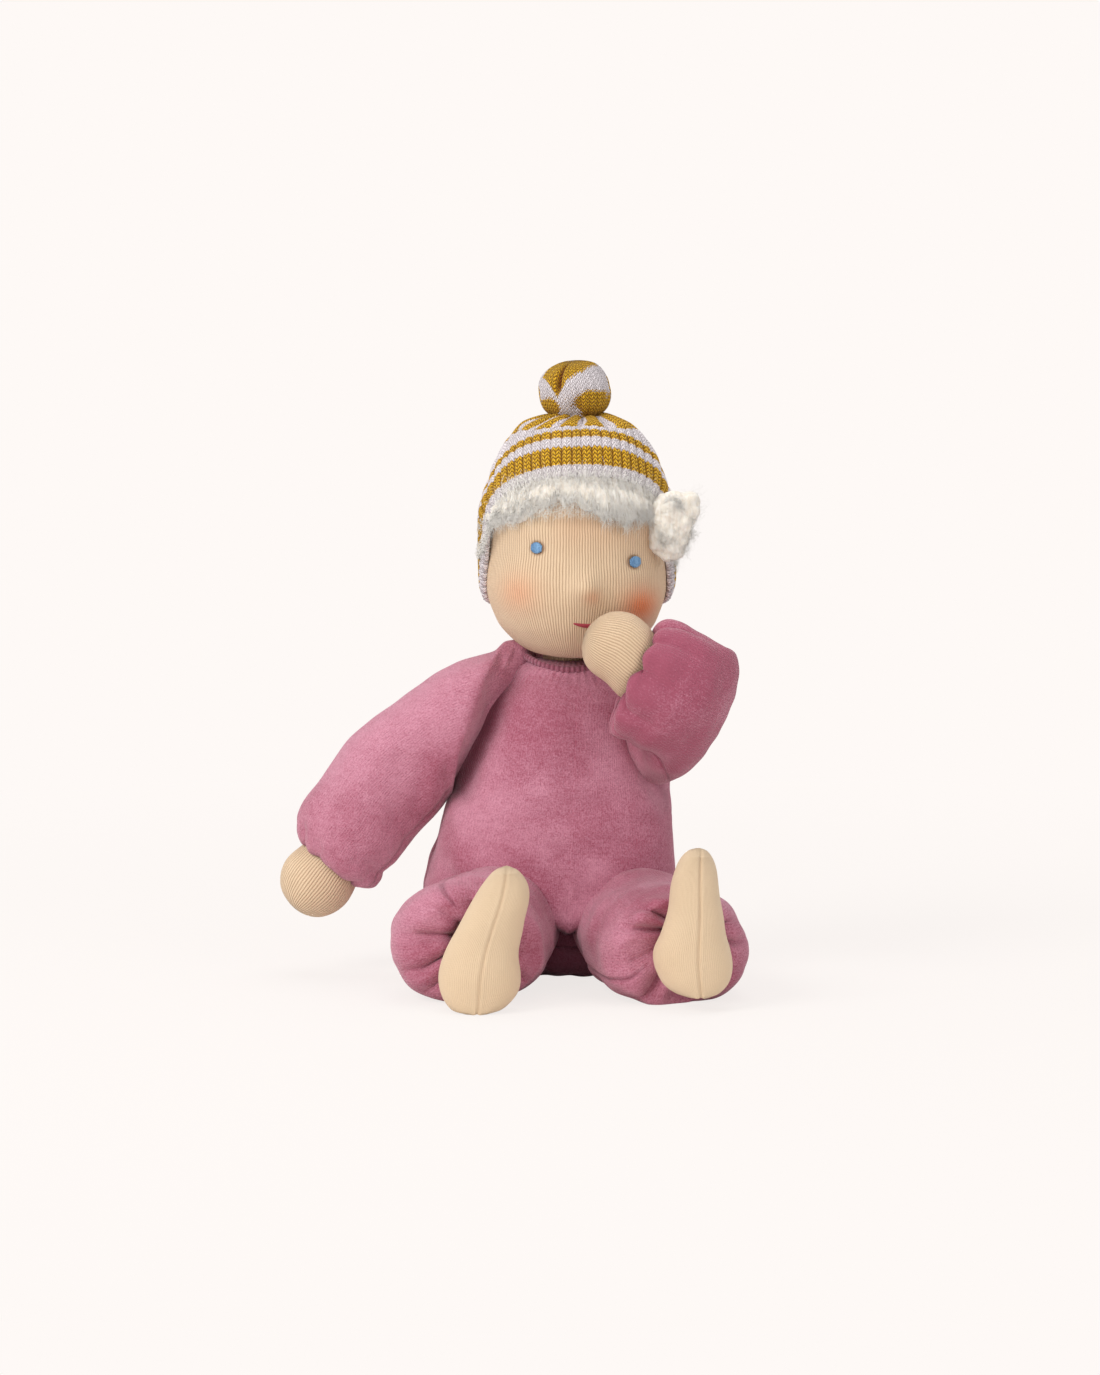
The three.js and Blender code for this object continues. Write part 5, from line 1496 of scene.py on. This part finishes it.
@dataclass
class Arm:
    """One sleeve and its hand."""

    side: Side
    sleeve: Sequence[Sequence[float]]
    hand: Sequence[Sequence[float]]
    bend: Tuple[Point, Point]
    nap: float
    uneven: float
    seam_angle: float
    seed: int
    gather: float = 1.6
    gather_reach: float = 0.16
    hand_shade: float = 0.0

    def cloth(self) -> bpy.types.Object:
        """The sleeve: rings from inside the shoulder to the gathered cuff and back into it, swollen by wool."""
        rows, sides = 221, 180
        grid = rings(self.sleeve, rows, sides)
        share = np.linspace(0, 1, rows)[:, None]
        cuff = 1 - 1.5 / (len(self.sleeve) - 1)
        held = np.maximum(1 - ease(0.04, 0.18, share[:, 0]), ease(cuff - 0.12, cuff - 0.02, share[:, 0]))
        grid = Filling().swell(grid, held)
        gathered = ease(cuff - self.gather_reach, cuff, share) * (1 - 0.4 * ease(cuff + 0.02, 1, share))
        grid = pleats(grid, gathered, count=9, depth=self.gather, seed=self.seed)
        off = self.uneven * (lumps(grid, 30.0, self.seed) + 0.45 * lumps(grid, 12.0, self.seed + 1))
        off = off * ease(0.02, 0.15, share) * (1 - 0.6 * ease(cuff - 0.05, cuff, share))
        angle = np.arange(sides)[None, :] * TAU / sides
        seam = seam_line(angle, self.seam_angle, 0.05) * ease(0.2, 0.4, share)
        grid = grid + normals_of(grid) * (off - 0.6 * seam)[..., None]
        # Painted shade at the gathered cuff and where the sleeve turns back inside it; the seam is a little darker.
        hollow = 0.8 * ease(cuff - 0.01, cuff + 0.06, share) + 0.35 * seam
        return build(f"sleeve_{self.side.word}", grid, {"hollow": np.clip(hollow, 0, 1), "nap": self.nap + 0 * off})

    def mitt(self) -> bpy.types.Object:
        """The hand: a round tricot mitt drawn in at the wrist."""
        grid = rings(self.hand, rows=110, sides=140)
        grid = grid + normals_of(grid) * (0.2 * lumps(grid, 18.0, self.seed + 4))[..., None]
        # Painted shade over the whole hand.
        rubbed_and_shaded = np.full(grid.shape[:2], self.hand_shade)
        return build(f"hand_tricot_{self.side.word}", grid, {"blush": 0 * rubbed_and_shaded, "shade": rubbed_and_shaded})

    def make(self, wardrobe: Wardrobe) -> None:
        """Builds and dresses the arm."""
        word = self.side.word
        nodes = [f"{part}_{word}" for part in (
            "upper_sleeve", "upper_arm_stuffing", "forearm_sleeve", "forearm_stuffing", "wrist_thread")]
        sleeve = dress(self.cloth(), wardrobe.velour, nodes)
        bend_filled(sleeve, self.bend)
        nodes = [f"hand_skin_{word}", f"hand_stuffing_{word}"]
        hand = dress(self.mitt(), wardrobe.tricot, nodes, f"hand_{word}")


@dataclass
class Leg:
    """One trouser leg and its foot."""

    side: Side
    trouser: Sequence[Sequence[float]]
    foot: Sequence[Tuple[float, float, float, float]]
    sole_front: float
    foot_half_depth: float
    bend: Tuple[Point, Point]
    seams: Sequence[float]
    nap: float
    seed: int

    def cloth(self) -> bpy.types.Object:
        """The trouser leg: flat where it lies on the floor, drawn in round the ankle, with its seams."""
        rows, sides = 221, 200
        grid = rings(self.trouser, rows, sides, flat=0.22)
        share = np.linspace(0, 1, rows)[:, None]
        last = 1 - 1.0 / (len(self.trouser) - 1)
        held = np.maximum(1 - ease(0.04, 0.16, share[:, 0]), ease(last - 0.10, last - 0.02, share[:, 0]))
        grid = Filling().swell(grid, held)
        gathered = ease(last - 0.30, last - 0.07, share) * (1 - 0.3 * ease(last, 1, share))
        grid = pleats(grid, gathered, count=9, depth=3.0, seed=self.seed)
        off = 0.9 * lumps(grid, 32.0, self.seed) + 0.5 * lumps(grid, 12.0, self.seed + 1)
        off = off * ease(0.02, 0.2, share) * (1 - 0.5 * ease(last - 0.12, last, share))
        angle = np.arange(sides)[None, :] * TAU / sides
        seam = sum(seam_line(angle, at, 0.04) for at in self.seams)
        seam = seam * ease(0.15, 0.3, share) * (1 - ease(last - 0.12, last - 0.04, share))
        grid = grid + normals_of(grid) * (off - 0.9 * seam)[..., None]
        grid[..., 2] = np.maximum(grid[..., 2], 0.12)
        # Painted shade at the gathered ankle and where the leg turns back inside it; the seams are a little darker.
        hollow = 0.75 * ease(last - 0.05, last + 0.03, share) + 0.5 * seam
        return build(f"trouser_{self.side.word}", grid, {"hollow": np.clip(hollow, 0, 1), "nap": self.nap + 0 * off})

    def sock(self) -> bpy.types.Object:
        """The foot: level rings from the heel up to the toe.

        A ring is an ellipse whose front is pressed flatter, because the sole faces forward, and a narrow
        furrow e^-(x / 0.55)^2 runs down the sole where its two halves are stitched together.
        """
        read = through(self.foot, 150)
        height, aside, half, seam = (read[:, k:k + 1] for k in range(4))
        half = np.maximum(half, 0.25)
        angle = np.linspace(0, TAU, 200, endpoint=False)[None, :]
        cos, sin = np.cos(angle), np.sin(angle)
        share = half / half.max()
        deep = self.foot_half_depth * (0.30 + 0.70 * share) * np.minimum(1, share * 3)
        centre = self.sole_front + self.foot_half_depth * (0.30 + 0.70 * share) + 2.6 * ((height - 20) / 34) ** 2
        x = aside + half * signed_power(cos, 0.92)
        y = centre + deep * signed_power(sin, np.where(sin < 0, 0.88, 1.0))
        grid = np.stack([x, y + 0 * x, height + 0 * x], -1)
        from_seam = x - aside - seam
        furrow = bump(from_seam, 0, 0.55) * (sin < 0) * np.minimum(1, share * 2.5)
        welt = bump(np.abs(from_seam), 1.3, 0.8) * (sin < 0)
        off = -0.50 * furrow + 0.15 * welt + 0.35 * lumps(grid, 20.0, self.seed + 7)
        grid = grid + normals_of(grid) * off[..., None]
        return build(f"foot_tricot_{self.side.word}", grid, {"blush": 0 * off, "shade": 0.10 * furrow + 0 * off})

    def make(self, wardrobe: Wardrobe) -> None:
        """Builds and dresses the leg."""
        word = self.side.word
        nodes = [f"{part}_{word}" for part in ("trouser_leg", "leg_stuffing", "ankle_thread")]
        trouser = dress(self.cloth(), wardrobe.velour, nodes)
        bend_filled(trouser, self.bend)
        nodes = [f"{part}_{word}" for part in ("foot_outer", "foot_inner", "foot_stuffing")]
        foot = dress(self.sock(), wardrobe.sole, nodes, f"foot_{word}")


def right_arm() -> Arm:
    """The lowered arm, at the left of the picture."""
    return Arm(
        side=Side.RIGHT,
        sleeve=(
            (-14.0, -7.0, 107.0, 9.0, 7.0, -0.913, 0, 0.408, 0.40, 0.0, 0.91),
            (-24.4, -9.5, 104.2, 25.0, 8.5, -0.913, 0, 0.408, 0.40, 0.0, 0.91),
            (-32.2, -11.5, 101.2, 28.6, 12.5, -0.93, 0, 0.36, 0.40, 0.0, 0.91),
            (-38.2, -12.4, 98.0, 26.8, 21.4, -0.97, 0, 0.22, 0.26, 0.0, 0.965),
            (-48.0, -11.8, 92.8, 24.6, 23.0, -0.998, 0, -0.06, -0.04, 0, 1.0),
            (-60.6, -12.0, 81.9, 22.4, 21.4, -0.925, 0, -0.381, -0.38, 0, 0.925),
            (-71.2, -12.6, 71.3, 22.0, 21.0, -0.818, 0, -0.575, -0.575, 0, 0.818),
            (-79.2, -13.2, 59.7, 21.4, 20.2, -0.718, 0, -0.696, -0.696, 0, 0.718),
            (-85.4, -13.8, 52.0, 20.4, 18.6, -0.62, 0, -0.785, -0.785, 0, 0.62),
            (-88.4, -14.2, 45.6, 18.7, 16.6, -0.62, 0, -0.785, -0.785, 0, 0.62),
            (-90.5, -14.4, 42.6, 13.2, 12.4, -0.62, 0, -0.785, -0.785, 0, 0.62),
            (-87.8, -14.3, 46.4, 11.6, 11.0, -0.62, 0, -0.785, -0.785, 0, 0.62),
        ),
        hand=hand_rings(
            (-90.3, -14.4, 42.6), (-0.62, 0.0, -0.785), (-0.785, 0.0, 0.62), 14.1, 12.0, 22.5,
            ((-0.42, 0.6), (-0.15, 0.82), (0.05, 0.92), (0.36, 1.0), (0.6, 0.94), (0.8, 0.76), (0.92, 0.53),
             (0.985, 0.25), (1.0, 0.02))),
        bend=((-58.0, -12.0, 78.0), (-76.0, -13.0, 56.0)),
        nap=0.03,
        uneven=0.40,
        seam_angle=3.6,
        seed=41,
    )


def left_arm() -> Arm:
    """The raised arm, with its hand at the mouth."""
    return Arm(
        side=Side.LEFT,
        sleeve=(
            (14.0, -6.0, 107.0, 9.0, 8.0, 0.85, -0.5, 0.1, -0.3, 0, 0.95),
            (22.0, -9.0, 102.0, 20.0, 13.0, 0.82, -0.57, 0.0, -0.3, 0, 0.95),
            (30.6, -14.0, 99.0, 26.8, 16.5, 0.72, -0.68, 0.0, -0.28, 0, 0.95),
            (36.8, -24.0, 99.6, 24.4, 17.0, 0.55, -0.83, 0.05, 0.02, 0, 1.0),
            (41.6, -36.0, 102.4, 24.0, 15.6, 0.35, -0.91, 0.2, 0.30, 0, 0.95),
            (45.8, -46.0, 107.4, 25.6, 15.0, -0.2, -0.88, 0.4, 0.46, 0, 0.89),
            (42.4, -53.0, 110.6, 26.0, 15.8, -0.72, -0.32, 0.6, 0.62, 0, 0.78),
            (35.8, -55.6, 114.8, 24.8, 15.4, -0.82, -0.12, 0.55, 0.63, 0, 0.777),
            (27.6, -56.0, 119.0, 22.9, 14.8, -0.88, 0.0, 0.47, 0.48, 0, 0.88),
            (26.9, -55.6, 122.2, 14.6, 13.0, -0.89, 0.0, 0.45, 0.46, 0, 0.89),
            (31.0, -55.0, 120.4, 12.6, 11.2, -0.89, 0.0, 0.45, 0.45, 0, 0.89),
        ),
        hand=hand_rings(
            (29.05, -55.0, 121.5), (-0.93, 0.0, 0.366), (0.366, 0.0, 0.93), 14.4, 12.4, 25.4,
            ((-0.30, 0.70), (-0.10, 0.84), (0.05, 0.92), (0.20, 1.0), (0.45, 0.965), (0.71, 0.845), (0.87, 0.63),
             (0.97, 0.30), (1.0, 0.02)),
            (0.0, 0.0, 0.6, 1.8, 3.9, 4.1, 3.9, 3.9, 3.9)),
        bend=((41.0, -33.0, 101.0), (41.5, -54.0, 111.0)),
        # The raised sleeve is darker: partly its pile brushed the other way, partly painted shade.
        nap=-0.42,
        uneven=0.7,
        seam_angle=3.25,
        seed=57,
        gather=2.9,
        gather_reach=0.27,
        hand_shade=0.09,
    )


def hand_rings(wrist: Point, along: Point, wide: Point, half: float, deep: float, length: float,
               shares: Sequence[Tuple[float, float]],
               asides: Sequence[float] = (0.0,) * 9) -> Sequence[Sequence[float]]:
    """Stations of a mitt: from inside the cuff, out past its fullest line, to the rounded tip.

    Args:
        wrist: the cuff's centre in millimetres.
        along: the way to the tip.
        wide: the hand's wide way.
        half: half its width.
        deep: half its depth.
        length: from the cuff to the tip.
        shares: place along the length and share of the width, for nine stations.
        asides: how far each station lies off the middle line, along the wide way.

    Returns:
        Stations for rings().
    """
    base, way, across = np.array(wrist), np.array(along), np.array(wide)
    return [(*(base + way * length * place + across * aside), half * size, deep * size, *along, *wide)
            for (place, size), aside in zip(shares, asides)]


def right_leg() -> Leg:
    """The leg at the left of the picture, whose foot leans a little."""
    return Leg(
        side=Side.RIGHT,
        trouser=(
            (-20.0, -14.0, 26.0, 12.0, 12.0, -0.12, -0.99, 0, 1, 0, 0),
            (-23.0, -26.0, 24.5, 20.5, 19.5, -0.14, -0.99, 0, 1, 0, 0),
            (-27.0, -38.0, 22.6, 23.5, 21.6, -0.16, -0.98, 0, 1, 0, 0),
            (-31.5, -50.0, 22.2, 27.2, 22.0, -0.16, -0.98, 0, 1, 0, 0),
            (-35.2, -62.0, 22.0, 29.0, 22.6, -0.12, -0.99, 0, 1, 0, 0),
            (-36.8, -73.0, 21.8, 28.6, 22.4, -0.05, -1.0, 0, 1, 0, 0),
            (-36.6, -81.5, 21.6, 26.4, 20.8, 0.0, -1.0, 0, 1, 0, 0),
            (-36.0, -86.6, 22.4, 18.4, 16.4, 0.0, -1.0, 0, 1, 0, 0),
            (-35.0, -87.6, 24.0, 9.0, 8.8, 0.0, -1.0, 0, 1, 0, 0),
            (-34.6, -83.5, 24.0, 7.0, 7.0, 0.0, -1.0, 0, 1, 0, 0),
        ),
        foot=(
            (0.15, -32.8, 5.0, 0.0), (1.6, -32.6, 10.0, 0.2), (6.6, -32.3, 14.1, 0.3), (13.5, -32.0, 15.1, 0.6),
            (23.0, -30.9, 13.5, 1.3), (32.0, -27.6, 11.7, 0.6), (40.6, -24.4, 10.5, 0.2), (47.4, -22.6, 8.2, 0.0),
            (52.4, -22.0, 4.6, 0.0), (54.6, -21.9, 0.2, 0.0),
        ),
        sole_front=-112.0,
        foot_half_depth=11.5,
        bend=((-23.0, -24.0, 22.0), (-27.0, -44.0, 22.0)),
        seams=(1.9,),
        nap=-0.05,
        seed=73,
    )


def left_leg() -> Leg:
    """The leg at the right of the picture, turned further out."""
    along = (0.29, -0.957, 0)
    wide = (0.957, 0.29, 0)
    return Leg(
        side=Side.LEFT,
        trouser=(
            (20.0, -14.0, 26.0, 12.0, 12.0, *along, *wide),
            (23.0, -26.0, 24.0, 20.5, 19.0, *along, *wide),
            (27.5, -38.0, 21.8, 23.5, 20.6, *along, *wide),
            (32.5, -50.0, 20.9, 27.5, 20.9, *along, *wide),
            (36.5, -61.0, 20.7, 30.2, 21.0, *along, *wide),
            (39.0, -71.0, 20.6, 29.2, 21.0, *along, *wide),
            (41.0, -80.0, 20.2, 26.6, 20.6, *along, *wide),
            (42.2, -86.0, 20.4, 20.0, 18.6, *along, *wide),
            (43.6, -85.8, 24.0, 9.0, 8.8, *along, *wide),
            (42.4, -81.8, 24.0, 7.0, 7.0, *along, *wide),
        ),
        foot=(
            (5.6, 48.2, 4.6, 1.0), (7.0, 48.1, 8.4, 1.2), (10.6, 47.5, 12.3, 1.4), (16.0, 46.6, 14.5, 1.8),
            (22.0, 46.1, 14.2, 2.2), (29.0, 46.6, 11.8, 2.0), (37.5, 47.3, 9.9, 1.6), (47.0, 47.2, 8.7, 1.6),
            (54.4, 47.6, 6.7, 1.4), (58.6, 48.2, 3.8, 0.8), (60.2, 48.6, 0.2, 0.0),
        ),
        sole_front=-108.5,
        foot_half_depth=11.5,
        bend=((24.0, -24.0, 22.0), (28.0, -44.0, 22.0)),
        seams=(1.1, 3.55),
        nap=-0.10,
        seed=89,
    )


# ---------------------------------------------------------------- studio


@dataclass
class Studio:
    """The camera, the pale floor and the soft light."""

    target: Point = (-0.00608, -0.030, 0.112)
    distance: float = 1.8
    elevation: float = 6.0
    frame_height: float = 0.5225
    backdrop: Colour = (0.992, 0.947, 0.922)

    def camera(self) -> None:
        """A long lens in front of the doll, a little above it."""
        rise = math.radians(self.elevation)
        data = bpy.data.cameras.new("camera")
        data.sensor_fit = "VERTICAL"
        data.sensor_height = 36.0
        data.lens = data.sensor_height * self.distance / self.frame_height
        eye = link("camera", data)
        x, y, z = self.target
        eye.location = (x, y - self.distance * math.cos(rise), z + self.distance * math.sin(rise))
        eye.rotation_euler = (math.pi / 2 - rise, 0, 0)
        bpy.context.scene.camera = eye

    def pale(self, name: str, own: float) -> bpy.types.Material:
        """A pale surface: plain far from the doll, and near it with a share of its real shading and shadow."""
        made = bpy.data.materials.new(name)
        made.use_nodes = True
        tree = Tree(made.node_tree)
        ray = tree.node("ShaderNodeLightPath").outputs
        seen = tree.math("MAXIMUM", ray["Is Camera Ray"], ray["Is Transmission Ray"])
        away = tree.node("ShaderNodeVectorMath", {0: tree.place_in("Object")}, operation="LENGTH").outputs["Value"]
        share = tree.step(away, 0.12, 0.60) * (1.0 - own) + own
        matt = tree.node("ShaderNodeBsdfDiffuse", {"Color": (0.86, 0.83, 0.81)}).outputs[0]
        plain = tree.node("ShaderNodeEmission", {"Color": self.backdrop}).outputs[0]
        mixed = tree.node("ShaderNodeMixShader", {0: seen * share, 1: matt, 2: plain})
        tree.node("ShaderNodeOutputMaterial", {"Surface": mixed.outputs[0]})
        return made

    def floor(self) -> None:
        """A wide floor under the doll."""
        reach = 6.0
        mesh = bpy.data.meshes.new("floor")
        corners = [(-reach, -reach, 0), (reach, -reach, 0), (reach, reach, 0), (-reach, reach, 0)]
        mesh.from_pydata(corners, [], [(0, 1, 2, 3)])
        mesh.materials.append(self.pale("pale_floor", 0.82))
        link("floor", mesh)

    def world(self) -> None:
        """A pale sky that the camera sees as the plain backdrop, and that lights softly from all round."""
        sky = bpy.data.worlds.new("studio")
        sky.use_nodes = True
        tree = Tree(sky.node_tree)
        camera_ray = tree.node("ShaderNodeLightPath").outputs["Is Camera Ray"]
        around = tree.node("ShaderNodeBackground", {"Color": (1.0, 0.985, 0.97), "Strength": 0.50}).outputs[0]
        seen = tree.node("ShaderNodeBackground", {"Color": self.backdrop}).outputs[0]
        mixed = tree.node("ShaderNodeMixShader", {0: camera_ray, 1: around, 2: seen})
        tree.node("ShaderNodeOutputWorld", {"Surface": mixed.outputs[0]})
        bpy.context.scene.world = sky

    def lamp(self, name: str, place: Point, size: float, power: float, colour: Colour) -> None:
        """A square soft lamp that faces the doll."""
        data = bpy.data.lights.new(name, "AREA")
        data.size = size
        data.energy = power
        data.color = colour
        lamp = link(name, data)
        lamp.location = place
        way = np.array([0.0, -0.03, 0.10]) - np.array(place)
        flat = math.hypot(way[0], way[1])
        lamp.rotation_euler = (math.atan2(flat, -way[2]), 0, math.atan2(-way[0], way[1]))

    def make(self) -> None:
        """Sets the stage."""
        self.camera()
        self.floor()
        self.world()
        self.lamp("key", (-1.05, -1.00, 1.15), 0.8, 17.5, (1.0, 0.985, 0.96))
        self.lamp("fill", (1.15, -1.20, 0.65), 1.1, 4.5, (1.0, 0.99, 0.98))
        self.lamp("top", (0.1, 0.25, 1.5), 0.9, 7.0, (1.0, 1.0, 1.0))
        view = bpy.context.scene.view_settings
        view.view_transform = "Standard"


def main() -> None:
    """Makes the stage and the doll."""
    logging.basicConfig(level=logging.INFO, format="%(message)s")
    Studio().make()
    wardrobe = Wardrobe()
    form = HeadForm()
    Face(form).make(wardrobe)
    Wig(form).make(wardrobe)
    Cap(form).make(wardrobe)
    Torso().make(wardrobe)
    for limb in (right_arm(), left_arm(), right_leg(), left_leg()):
        limb.make(wardrobe)


if __name__ == "__main__":
    main()
